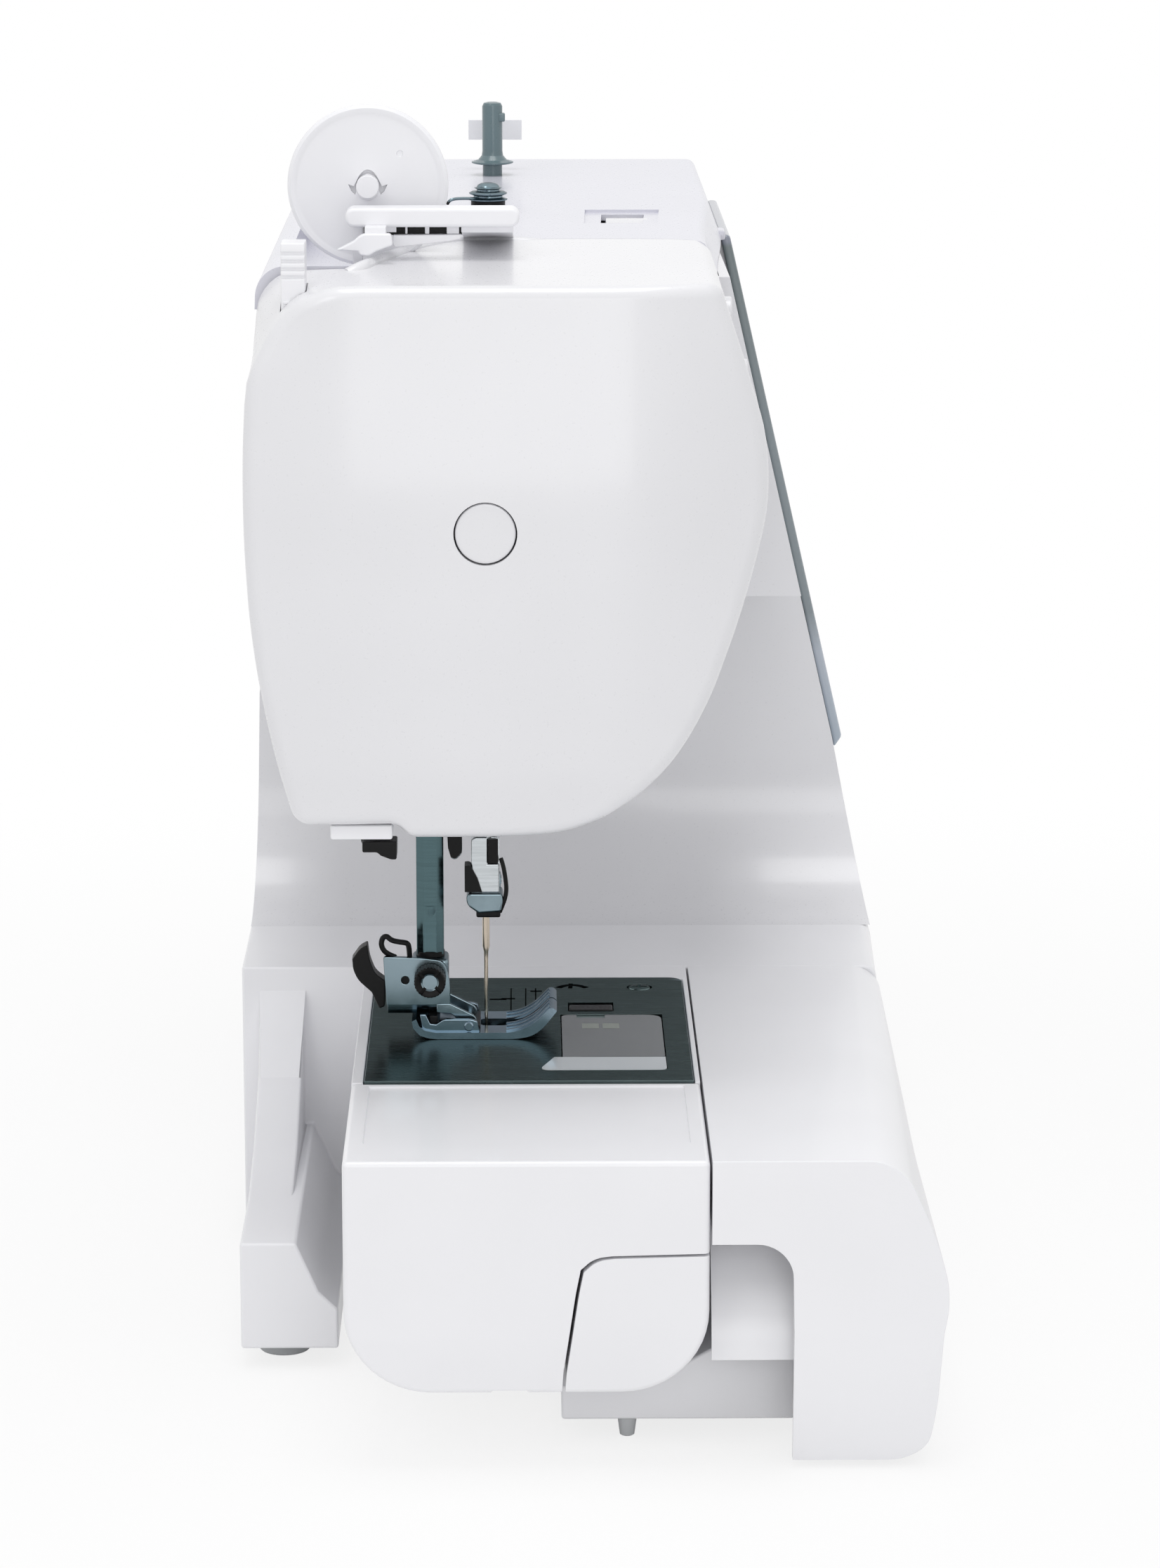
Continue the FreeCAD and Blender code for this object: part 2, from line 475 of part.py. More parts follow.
def bed_cover():
    shell = prism("bed_shell", "X", ("base_start", "body_end"), bed_outline("rear_reach", "base_underside"),
                  rounds=[([1], "bed_lip_round")], wall="wall", open_sides=["-Z"])
    arm_mouth = box("arm_mouth", ("base_start - 1", "base_start + wall + 1"),
                    ("-arm_front + 2 * wall", "arm_back - 2 * wall"),
                    ("arm_underside + wall", "bed_height - wall"))
    shaft_well = box("shaft_well", ("column_start + 2 * wall", "body_end - 2 * wall"),
                     ("-brow_front", "lid_rear"), ("bed_height - wall - 1", "bed_height + 1"))
    rocker_hole = box("rocker_hole", ("body_end - wall - 1", "body_end + 1"),
                      ("-rocker_y - rocker_width / 2 - slot_play",
                       "-rocker_y + rocker_width / 2 + slot_play"),
                      ("rocker_height - rocker_tall / 2 - slot_play",
                       "rocker_height + rocker_tall / 2 + slot_play"))
    inlet_hole = box("inlet_hole", ("body_end - wall - 1", "body_end + 1"),
                     ("-inlet_y - inlet_width / 2", "-inlet_y + inlet_width / 2"),
                     ("inlet_low", "inlet_high"))
    lever_slot = box("lever_slot", ("lever_x - slot_play",
                                    "lever_x + lever_width + lever_travel + slot_play"),
                     ("rear_reach - wall - 1", "rear_reach + 1"),
                     ("lever_low - slot_play", "lever_low + lever_tall + slot_play"))
    pan_mouths = [box(f"pan_mouth_{i}", ("base_start - 1", "base_start + wall + 1"), y,
                      ("base_underside - 1", "base_underside + floor_thick + play"))
                  for i, y in enumerate((("-runner_outer_y + wall", "-runner_inner_y - wall"),
                                         ("rear_runner_toe + wall", "rear_runner_outer - wall")))]
    casing = cut("bed_casing", shell, arm_mouth, shaft_well, rocker_hole, inlet_hole, lever_slot,
                 *pan_mouths)
    node("bed_cover", fuse("bed_whole", casing, front_runner(), rear_runner()))


def front_runner():
    section = [
        ("-runner_inner_y", "base_underside"), ("-runner_inner_y", "runner_groove_height"),
        ("-runner_groove_y", "runner_groove_height"), ("-arm_front - 4", "runner_height"),
        ("-runner_outer_y", "runner_height"), ("-runner_outer_y", "base_underside"),
    ]
    rail = prism("front_rail", "X", ("front_runner_start", "base_start"), section,
                 wall="wall", open_sides=["-Z", "+X"])
    ramp_outline = [
        ("base_start", "runner_height - wall"), ("front_runner_start + 40", "runner_height - wall"),
        ("front_runner_start + 95", "runner_height + 7"), ("base_start - 25", "runner_height + 17"),
        ("base_start", "runner_ramp"),
    ]
    ramp = prism("front_ramp", "Y", ("-runner_outer_y", "-arm_front - 4"), ramp_outline)
    return fuse("front_runner", rail, ramp)


def rear_runner():
    section = [
        ("rear_runner_outer", "base_underside"), ("rear_runner_outer", "rear_runner_height"),
        ("rear_runner_top", "rear_runner_height"), ("rear_runner_top - 6", "rear_runner_toe_height + 5"),
        ("rear_runner_toe", "rear_runner_toe_height"), ("rear_runner_toe", "base_underside"),
    ]
    rail = prism("rear_rail", "X", ("rear_runner_start", "base_start"), section,
                 wall="wall", open_sides=["-Z", "+X"])
    ramp_outline = [
        ("base_start", "rear_runner_height - wall"),
        ("rear_runner_start + 30", "rear_runner_height - wall"),
        ("rear_runner_start + 70", "rear_runner_height + 6"),
        ("base_start - 14", "rear_runner_height + 18"),
        ("base_start", "rear_ramp"),
    ]
    ramp = prism("rear_ramp", "Y", ("rear_runner_top + wall", "rear_runner_outer"), ramp_outline)
    return fuse("rear_runner", rail, ramp)


def base_pan():
    """The bottom plate that closes the base between its walls, and its two tongues in the runners."""
    low = "base_underside"
    high = "base_underside + floor_thick"
    floor = box("pan_floor", ("base_start - 1", "body_end - wall - seam"),
                ("-bed_hem_front + wall + 1", "rear_reach - wall - seam"), (low, high))
    front_tongue = box("front_tongue", ("front_runner_start + wall + seam", "base_start"),
                       ("-runner_outer_y + wall + seam", "-runner_inner_y - wall - seam"), (low, high))
    rear_tongue = box("rear_tongue", ("rear_runner_start + wall + seam", "base_start"),
                      ("rear_runner_toe + wall + seam", "rear_runner_outer - wall - seam"), (low, high))
    corner = box("pan_corner", ("base_start - 2", "base_start + wall + seam"), ("-120", "120"), ("0", "20"))
    trimmed = cut("pan_trimmed", floor, corner)
    necks = fuse("pan_necks", front_tongue, rear_tongue)
    bridge = box("pan_bridge", ("base_start - 1", "base_start + wall + seam + 1"),
                 ("-runner_outer_y + wall + seam", "-runner_inner_y - wall - seam"), (low, high))
    bridge_rear = box("pan_bridge_rear", ("base_start - 1", "base_start + wall + seam + 1"),
                      ("rear_runner_toe + wall + seam", "rear_runner_outer - wall - seam"), (low, high))
    node("base_pan", fuse("pan_whole", trimmed, necks, bridge, bridge_rear))


def rubber_feet():
    front = "-front_reach + front_foot_inset"
    rear = "rear_reach - rear_foot_inset"
    spots = [("base_start + foot_inset", front), ("base_start + foot_inset", rear),
             ("body_end - foot_inset", front), ("body_end - foot_inset", rear),
             ("rear_runner_start + rear_foot_inset", rear)]
    feet = [rod(f"foot_{i}", "Z", ("0", "base_underside"), spot, "foot_radius")
            for i, spot in enumerate(spots)]
    feet.append(cone("foot_cone", "Z", ("0", "base_underside"),
                     ("front_runner_start + foot_inset", "-cone_foot_y"),
                     "cone_foot_tip", "cone_foot_radius"))
    node("rubber_feet", fuse("feet", *feet))


def column_outline():
    return [
        (front_plane("lid_seam"), "lid_seam"), ("-panel_foot_front", "panel_foot_height"),
        ("-column_foot_front", "bed_height"), ("rear_reach", "bed_height"),
        ("column_rear", "column_rear_height"), ("column_hip_rear", "arm_bottom"),
        ("arm_rear", "arm_rear_height"), ("lid_rear", "lid_seam"),
    ]


def column_cover():
    shell = prism("column_shell", "X", ("column_start", "body_end"), column_outline(),
                  wall="wall", open_sides=["+Z", "-Z"])
    arm_hole = box("arm_hole", ("column_start - 1", "column_start + wall + 1"),
                   ("-brow_front - 6", "lid_rear - 6"),
                   ("arm_bottom + 2 * wall", "lid_seam + 1"))
    shaft_hole = rod("shaft_hole", "X", ("body_end - wall - 1", "body_end + 1"),
                     ("needle_y", "shaft_height"),
                     "shaft_radius + play")
    body = cut("column_body", shell, arm_hole, shaft_hole)
    foot = prism("column_toe", "X", ("column_start - column_foot_radius", "column_start"), column_outline())
    toe_limit = box("toe_limit", ("column_start - column_foot_radius - 1", "column_start + 1"),
                    ("-120", "120"),
                    ("bed_height", "bed_height + column_foot_radius"))
    scoop = rod("toe_scoop", "Y", ("-120", "120"),
                ("column_start - column_foot_radius", "bed_height + column_foot_radius"),
                "column_foot_radius")
    toe = cut("column_toe_cut", common("column_toe_low", foot, toe_limit), scoop)
    node("column_cover", fuse("column_whole", body, toe))


def arm_cover():
    head = prism("head_block", "X", ("face_end + seam", "head_end"), head_outline_low(),
                 rounds=HEAD_ROUNDS, wall="wall", open_sides=["+Z", "-X"])
    arm_points = [
        (front_plane("lid_seam"), "lid_seam"), (front_plane("arm_bottom"), "arm_bottom"),
        ("column_hip_rear", "arm_bottom"), ("arm_rear", "arm_rear_height"), ("lid_rear", "lid_seam"),
    ]
    arm = prism("arm_block", "X", ("head_end", "column_start"), arm_points, wall="wall",
                open_sides=["+Z", "+X"])
    passage = box("head_passage", ("head_end - wall - 1", "head_end + wall + 1"),
                  ("-brow_front + 6", "lid_rear - 8"), ("arm_bottom + wall + 1", "lid_seam + 1"))
    lifter_slot = box("lifter_slot", ("lifter_x - 1.2", "lifter_x + lifter_thick + 1.2"),
                      ("lifter_y - 7.5", "lifter_y + 60"), ("head_bottom - 1", "lifter_height + 10"))
    bar_hole = box("bar_hole", ("face_end", "needle_x + 12"), ("needle_y - 8", "presser_y + 6.5"),
                   ("head_bottom - 1", "head_bottom + wall + 1"))
    takeup_slot = box("takeup_slot", ("takeup_x - 1", "takeup_x + takeup_thick + 1"), ("-70", "-40"),
                      ("cheek_height", "lid_seam + 1"))
    holes = [rod(f"{n}_hole", "Y", ("-70", "-45"), ("button_x", f"{n}_height"), "button_radius + play")
             for n in ("start", "reverse")]
    slider_slot = box("slider_slot", ("slider_start - slot_play",
                                      "slider_start + slider_length + slider_travel + slot_play"),
                      ("-70", "-50"), ("slider_neck_low - play", "slider_neck_high + play"))
    shell = fuse("arm_shell", head, arm)
    node("arm_cover", cut("arm_whole", shell, passage, lifter_slot, bar_hole, takeup_slot, slider_slot,
                          *holes))


HEAD_ROUNDS = [
    ([1], "cheek_round * head_stretch"), ([2, 3, 4], "jaw_round * head_stretch"),
    ([5], "chin_round"), ([6], "heel_round"), ([7, 8], "jaw_round * head_stretch"),
]


def face_profiles(name, depth):
    """The bowed face of the head, as its side profile and its plan, set in by depth."""
    start = f"face_start + {depth}"
    side = prism(f"face_side_{name}", "Y", ("-80", "90"), [
        (start, "head_wide_height"), (start, "face_lean_low"), (f"{start} + face_tuck", "head_bottom"),
        ("face_end", "head_bottom"), ("face_end", "top_height"), (f"{start} + face_lean", "top_height")])
    plan = prism(f"face_plan_{name}", "Z", ("head_bottom - 5", "top_height + 5"), [
        (start, "-temple_flat"), (f"{start} + temple_depth", "-temple_front"),
        (f"{start} + temple_setback", "-64"),
        ("face_end", "-64"), ("face_end", "80"), (f"{start} + face_side_depth", "80"),
        (start, "face_side_flat")],
        rounds=[([0], "cheek_round"), ([1], "cheek_round / 2"), ([6], "face_side_flat")])
    return side, plan


def face_block():
    """The head's hollow face: its outline, side profile and plan together, open towards the arm."""
    rounds = [([9], "head_crown"), ([0], "brow_round")] + HEAD_ROUNDS
    solid = prism("face_solid", "X", ("face_start", "face_end"), head_outline("top_height"), rounds=rounds)
    tube = prism("face_tube", "X", ("face_start", "face_end"), head_outline("top_height"), rounds=rounds,
                 wall="wall", open_sides=["-X", "+X"])
    side, plan = face_profiles("outer", "0")
    outer = common("face_outer", common("face_outer_a", solid, side), plan)
    side, plan = face_profiles("inner", "wall")
    inner = common("face_inner", common("face_inner_a", cut("face_hollow", solid, tube), side), plan)
    return cut("face_shell", outer, inner)


def lid_notch(name, start, front):
    """The corner of the head's top that belongs to the lid with its thread well."""
    return box(name, (start, "face_end + 1"), (front, "head_rear + 1"), ("lid_seam", "top_height + 1"))


def face_cover():
    shell = face_block()
    rib = box("stem_rib", ("face_start + wall - 0.5", "stem_start - play"), ("stem_front", "stem_rear"),
              ("head_bottom + 8", "stem_top - 4"))
    shell_rib = fuse("face_ribbed", shell, rib)
    under = box("face_under", ("needle_x - 16", "face_end + 1"), ("needle_y - 8", "presser_y + 6.5"),
                ("head_bottom - 1", "head_bottom + wall + 1"))
    tab_slot = box("tab_slot", ("tab_start - 1", "tab_end + 1"), ("tab_front - 1.5", "tab_rear + 1.5"),
                   ("head_bottom - 1", "head_bottom + wall + 3"))
    cap_hole = rod("cap_hole", "X", ("face_start - 1", "face_start + wall + 1"),
                   ("face_cap_y", "face_cap_height"),
                   "face_cap_radius + play")
    cutter_hole = box("cutter_hole", ("cutter_start - play", "cutter_end + play"),
                      ("cutter_front - play", "cutter_rear + play"), ("top_height - 16", "top_height + 1"))
    notch = lid_notch("face_notch", "notch_start", "notch_front")
    node("face_cover", cut("face_whole", shell_rib, under, tab_slot, cap_hole, cutter_hole, notch))


def face_cap():
    plug = rod("cap_plug", "X", ("face_start", "face_start + face_cap_thick"),
               ("face_cap_y", "face_cap_height"),
               "face_cap_radius")
    node("face_cap", plug)


def top_cover():
    outline = [
        (front_plane("lid_seam"), "lid_seam + seam"), ("-lid_top_front", "top_height"),
        ("head_top_rear", "top_height"), ("lid_rear", "lid_seam + seam"),
    ]
    lid = prism("lid_shell", "X", ("notch_start + seam", "body_end"), outline,
                rounds=[([2], "lid_round"), ([1], "lid_front_round")],
                wall="wall", open_sides=["-Z"])
    face_side = box("lid_front_clear", ("notch_start - 1", "face_end + seam"),
                    ("-70", "notch_front + seam"),
                    ("lid_seam - 1", "top_height + 1"))
    tub = box("well_tub", ("well_start - wall", "well_end + wall"),
              ("well_front - wall", "well_rear + wall"),
              ("lid_seam + seam", "top_height - 0.5"))
    well = box("well_space", ("well_start", "well_end"), ("well_front", "well_rear"),
               ("well_floor", "top_height + 1"))
    under_well = box("well_under", ("well_start", "well_end"), ("well_front", "well_rear"),
                     ("lid_seam - 1", "well_floor - wall"))
    pocket = box("label_pocket", ("pocket_start", "pocket_end"), ("-pocket_front", "-pocket_rear"),
                 ("top_height - window_pocket", "top_height + 1"))
    dial_slot = box("dial_slot", ("dial_x - dial_radius", "dial_x + dial_radius"),
                    ("-dial_front - play", "-dial_rear + play"), ("lid_seam", "top_height + 1"))
    winder_hole = rod("winder_hole", "Z", ("lid_seam", "top_height + 1"), ("winder_x", "winder_y"),
                      "winder_radius + run_fit")
    boss = rod("winder_boss", "Z", ("lid_seam + seam", "top_height - 1"), ("winder_x", "winder_y"),
               "winder_radius + 3")
    lid_trim = cut("lid_trimmed", lid, face_side, dial_slot)
    whole = fuse("lid_filled", lid_trim, tub, boss, *dial_bracket())
    edge_clear = lid_notch_clear()
    node("top_cover", cut("lid_whole", whole, edge_clear, well, under_well, pocket, winder_hole))


def dial_bracket():
    """Two cheeks under the lid and the axle between them, for the tension dial."""
    high = "top_height - wall + 0.1"
    cheeks = [box(f"dial_cheek_{i}", ("dial_x - 3", "dial_x + 3"), (y, f"{y} + 2.5"),
                  ("dial_height - 3.5", high))
              for i, y in enumerate(("-dial_front - 0.8 - 2.5", "-dial_rear + 0.8"))]
    axle = rod("dial_axle_rod", "Y", ("-dial_front - 1.5", "-dial_rear + 1.5"), ("dial_x", "dial_height"),
               "dial_axle")
    return cheeks + [axle]


def lid_notch_clear():
    """Keeps the well's tub clear of the head cover in front of it."""
    return box("tub_clear", ("notch_start - 10", "notch_start + seam"), ("-70", "80"),
               ("lid_seam - 1", "top_height + 1"))


def free_arm_cover():
    shell = prism("arm_tube", "X", ("cap_end + seam", "base_start"), arm_outline(),
                  rounds=[([1, 2], "arm_round")],
                  wall="wall", open_sides=["-X", "+X"])
    mouth = box("plate_mouth", ("cap_end", "plate_end + play"),
                ("-plate_front - play", "plate_back + play"),
                ("bed_height - wall - 2", "bed_height + 1"))
    node("free_arm_cover", cut("arm_tube_cut", shell, mouth))


def arm_end():
    shell = prism("end_shell", "X", ("0", "cap_end"), arm_outline(), rounds=[([1, 2], "arm_round")],
                  wall="wall", open_sides=["+X"])
    corner = box("corner_cut", ("-1", "corner_depth"), ("-arm_front - 1", "-corner_edge"),
                 ("0", "corner_top"))
    corner_keep = box("corner_keep", ("-1", "corner_depth - seam"),
                      ("-arm_front - 1", "-corner_edge - seam"),
                      ("0", "corner_top - seam"))
    pocket = box("cap_pocket", ("cap_pocket_start", "cap_pocket_end"),
                 ("-cap_pocket_side", "cap_pocket_side"),
                 ("bed_height - cap_pocket", "bed_height + 1"))
    node("arm_end_cap", cut("end_cap_cut", shell, corner, pocket))
    node("arm_corner_panel", common("corner_panel", shell, corner_keep))


def extension_table():
    inner = "-arm_front - slot_play"
    outer = prism("table_block", "X", ("0", "base_start - seam"), bed_outline(inner, "table_skirt"),
                  rounds=[([1], "bed_lip_round")])
    hollow_points = [
        (f"{inner} - wall", "bed_height - wall"), ("-bed_lip_front + wall", "bed_height - wall"),
        ("-bed_flank_front + wall", "bed_flank_height"), ("-front_reach + wall", "bed_wide_height"),
        ("-bed_tuck_front + wall", "bed_tuck_height"), ("-bed_skirt_front + wall", "bed_skirt_height"),
        ("-bed_hem_front + wall", "0"), (f"{inner} - wall", "0"),
    ]
    hollow = prism("table_hollow", "X", ("table_end_wall", "base_start + 1"), hollow_points)
    inner_low = box("table_inner", ("table_end_wall", "base_start + 1"),
                    (f"{inner} - wall - 1", f"{inner} + 1"),
                    ("0", "table_inner_low"))
    arch = box("table_arch", ("-1", "table_end_wall + 1"), ("-arch_side", f"{inner} + 1"),
               ("0", "arch_top"))
    node("extension_table", cut("table_whole", outer, hollow, inner_low, arch))


# Needle plate and what lies under it

def needle_plate():
    low = "bed_height + plate_rise - plate_thick"
    high = "bed_height + plate_rise"
    plate = box("plate_block", ("plate_start", "plate_end"), ("-plate_front", "plate_back"), (low, high))
    needle_slot = box("needle_slot", ("needle_x - needle_slot_long / 2", "needle_x + needle_slot_long / 2"),
                      ("needle_y - needle_slot_wide / 2", "needle_y + needle_slot_wide / 2"),
                      ("bed_height - 5", "bed_height + 5"))
    rear_slot = box("dog_slot", ("dog_start - play", "dog_end + play"),
                    ("needle_y + dog_gap - feed_swing - play", "dog_rear + feed_swing + play"),
                    ("bed_height - 5", "bed_height + 5"))
    front_slot = box("dog_slot_front", ("dog_start - play", "dog_end + play"),
                     ("dog_front - feed_swing - play", "needle_y - dog_gap + feed_swing + play"),
                     ("bed_height - 5", "bed_height + 5"))
    door = box("door_hole", ("door_start - play", "door_end + play"),
               ("-door_front - play", "-door_rear + play"),
               ("bed_height - 5", "bed_height + 5"))
    latch = box("latch_hole", ("latch_start - play", "latch_start + latch_length + latch_travel + play"),
                ("-latch_front - play", "-latch_rear + play"), ("bed_height - 5", "bed_height + 5"))
    screws = [rod(f"plate_hole_{s}", "Z", ("bed_height - 5", "bed_height + 5"),
                  ("plate_screw_x", f"{sign}plate_screw_y"), "plate_screw_radius + play")
              for s, sign in (("rear", ""), ("front", "-"))]
    node("needle_plate", cut("plate_whole", plate, needle_slot, rear_slot, front_slot, door, latch,
                             *screws))


def plate_screws():
    screws = []
    for s, sign in (("rear", ""), ("front", "-")):
        spot = ("plate_screw_x", f"{sign}plate_screw_y")
        head = rod(f"plate_screw_{s}", "Z", ("bed_height + plate_rise - plate_thick",
                                             "bed_height + plate_rise"), spot,
                   "plate_screw_radius")
        slot = box(f"plate_slot_{s}", ("plate_screw_x - 4", "plate_screw_x + 4"),
                   (f"{sign}plate_screw_y - 0.5", f"{sign}plate_screw_y + 0.5"),
                   ("bed_height + plate_rise - 0.8", "bed_height + plate_rise + 1"))
        screws.append(cut(f"plate_screw_{s}_cut", head, slot))
    node("plate_screws", fuse("plate_screw_pair", *screws))


def hook_door():
    low = "bed_height + plate_rise - door_thick"
    door = box("door_block", ("door_start", "door_end"), ("-door_front", "-door_rear"),
               (low, "bed_height + plate_rise"))
    node("hook_cover", door)
    top = box("latch_top", ("latch_start", "latch_start + latch_length"), ("-latch_front", "-latch_rear"),
              (low, "bed_height + plate_rise + 0.3"))
    stem = box("latch_foot", ("latch_start + 1", "latch_start + latch_length - 1"),
               ("-latch_front + 2", "-latch_rear - 2"), (f"{low} - latch_stem", low))
    node("hook_latch", fuse("latch_whole", top, stem))


def hook():
    spot = ("hook_x", "-hook_y")
    cup = rod("hook_cup", "Z", ("hook_low", "hook_high"), spot, "hook_radius")
    inside = rod("hook_inside", "Z", ("hook_low + wall", "hook_high + 1"), spot, "hook_radius - hook_wall")
    gear_low = "lower_height - hook_gear_thick / 2"
    shaft = rod("hook_spindle", "Z", (gear_low, "hook_low + 1"), spot, "hook_shaft")
    gear = rod("hook_gear", "Z", (gear_low, f"{gear_low} + hook_gear_thick"), spot, "hook_gear_radius")
    node("hook_race", fuse("hook_whole", cut("hook_open", cup, inside), shaft, gear))
    case = rod("case_block", "Z", ("hook_low + wall + play", "hook_high + 1"), spot,
               "hook_radius - hook_wall - play")
    bore = rod("case_bore_space", "Z", ("hook_low + wall + play + case_floor", "hook_high + 2"), spot,
               "case_bore")
    node("bobbin_case", cut("case_whole", case, bore))


def bobbin():
    spot = ("hook_x", "-hook_y")
    low = "(hook_low + wall + play + case_floor + play)"
    core = rod("bobbin_core_rod", "Z", (low, f"{low} + bobbin_height"), spot, "bobbin_core")
    lower = rod("bobbin_low", "Z", (low, f"{low} + bobbin_flange"), spot, "bobbin_radius")
    upper = rod("bobbin_high", "Z", (f"{low} + bobbin_height - bobbin_flange", f"{low} + bobbin_height"),
                spot,
                "bobbin_radius")
    bore = rod("bobbin_bore", "Z", (f"{low} - 1", f"{low} + bobbin_height + 1"), spot, "bobbin_core - 2")
    node("bobbin", cut("bobbin_whole", fuse("bobbin_spool", core, lower, upper), bore))


def feed():
    top = "bed_height + plate_rise - play"
    rows = []
    for name, y in (("rear", ("needle_y + dog_gap", "dog_rear")),
                    ("front", ("dog_front", "needle_y - dog_gap"))):
        rows.append(box(f"dog_{name}", ("dog_start", "dog_end"), y, ("bridge_low", top)))
    bridge = box("dog_bridge", ("dog_start", "needle_x - 3"), ("dog_front", "dog_rear"),
                 ("bridge_low", "bridge_high"))
    block = box("dog_foot", ("dog_start", "dog_end"), ("dog_rear - 3", "dog_rear"),
                ("bridge_low - 4", "bridge_high"))
    node("feed_dog", fuse("dog_whole", *rows, bridge, block))
    post = box("feed_post", ("dog_start", "dog_end"), ("dog_rear - 3", "dog_rear + 5"),
               ("feed_bar_low + 4", "bridge_low - 4 - play"))
    node("feed_bar", fuse("feed_bar_whole", post, feed_rail()))


def feed_rail():
    return box("feed_rail", ("dog_start", "head_end"), ("dog_rear - 3", "dog_rear + 5"),
               ("feed_bar_low", "feed_bar_low + 5"))


# Needle, presser and take-up

def needle_group():
    spot = ("needle_x", "needle_y")
    bar = rod("needle_bar_rod", "Z", ("clamp_high", "needle_bar_top"), spot, "bar_radius")
    block = box("rod_block", ("needle_x - rod_block_radius", "rod_plane"),
                ("needle_y - rod_block_radius", "needle_y + rod_block_radius"),
                ("rod_block_low", "rod_block_high"))
    node("needle_bar", fuse("needle_bar_whole", bar, block))
    clamp = rod("clamp_block", "Z", ("clamp_low", "clamp_high"), spot, "clamp_radius")
    socket = rod("clamp_socket", "Z", ("clamp_low - 1", "needle_socket"), spot, "shank_radius")
    tapped = rod("clamp_tap", "X", ("needle_x + shank_radius", "needle_x + clamp_radius + 1"),
                 ("needle_y", "clamp_screw_height"), "screw_radius + run_fit")
    node("needle_clamp", cut("clamp_whole", clamp, socket, tapped))
    shank = rod("needle_shank", "Z", ("needle_shoulder", "needle_socket"), spot, "shank_radius")
    blade = rod("needle_blade", "Z", ("needle_tip + 3", "needle_shoulder"), spot, "needle_radius")
    point = cone("needle_point", "Z", ("needle_tip", "needle_tip + 3"), spot, "0.1", "needle_radius")
    node("needle", fuse("needle_whole", shank, blade, point))
    screw("clamp_screw", "needle_x + shank_radius + run_fit", "needle_x + clamp_radius + play", 1,
          ("needle_y", "clamp_screw_height"))


def screw(name, tip, seat_at, side, centre):
    """A thumb screw along X: a plain stem from its tip to its seat and a knurled head beyond it."""
    if side > 0:
        stem = rod(name + "_stem", "X", (tip, f"{seat_at} + 1"), centre, "screw_radius")
        head = rod(name + "_head", "X", (seat_at, f"{seat_at} + screw_head_length"), centre,
                   "screw_head_radius")
        slot = (f"{seat_at} + screw_head_length - 1", f"{seat_at} + screw_head_length + 1")
    else:
        stem = rod(name + "_stem", "X", (f"{seat_at} - 1", tip), centre, "screw_radius")
        head = rod(name + "_head", "X", (f"{seat_at} - screw_head_length", seat_at), centre,
                   "screw_head_radius")
        slot = (f"{seat_at} - screw_head_length - 1", f"{seat_at} - screw_head_length + 1")
    groove = box(name + "_slot", slot, (f"{centre[0]} - 5", f"{centre[0]} + 5"),
                 (f"{centre[1]} - 0.5", f"{centre[1]} + 0.5"))
    node(name, cut(name + "_whole", fuse(name + "_solid", stem, head), groove))


def connecting_rod():
    """A flat link beside the crank pin, from the needle bar's block to the crank's height."""
    eye_y = "needle_y + crank_throw"
    outline = [
        ("needle_y - 4", "rod_block_low + 1"), ("needle_y + 4", "rod_block_low + 1"),
        (f"{eye_y} + 3.5", "shaft_height - 4"), (f"{eye_y} - 3.5", "shaft_height"),
        ("needle_y - 4", "rod_block_high"),
    ]
    link = prism("rod_link", "X", ("rod_plane", "rod_plane + rod_thick"), outline)
    eye = rod("rod_eye", "X", ("rod_plane", "rod_plane + rod_thick"), (eye_y, "shaft_height"),
              "rod_eye_radius")
    bore = rod("rod_bore", "X", ("rod_plane - 1", "rod_plane + rod_thick + 1"), (eye_y, "shaft_height"),
               "crank_pin_radius + run_fit")
    node("connecting_rod", cut("rod_whole", fuse("rod_solid", link, eye), bore))


def take_up_lever():
    spot = ("-takeup_y", "takeup_height")
    span = ("takeup_x", "takeup_x + takeup_thick")
    hub = rod("takeup_hub_rod", "X", span, spot, "takeup_hub")
    outline = [
        ("-takeup_y", "takeup_height + takeup_hub - 1"), ("-takeup_y - takeup_reach", "takeup_height + 3"),
        ("-takeup_y - takeup_reach", "takeup_height - 3"), ("-takeup_y", "takeup_height - takeup_hub + 1"),
    ]
    lever = prism("takeup_arm", "X", span, outline, rounds=[([1, 2], "takeup_round")])
    bore = rod("takeup_bore", "X", ("takeup_x - 1", "takeup_x + takeup_thick + 1"), spot,
               "takeup_pin + run_fit")
    eye = rod("takeup_eye", "X", ("takeup_x - 1", "takeup_x + takeup_thick + 1"),
              ("-takeup_y - takeup_reach + 4", "takeup_height"), "1")
    node("take_up_lever", cut("takeup_whole", fuse("takeup_solid", hub, lever), bore, eye))


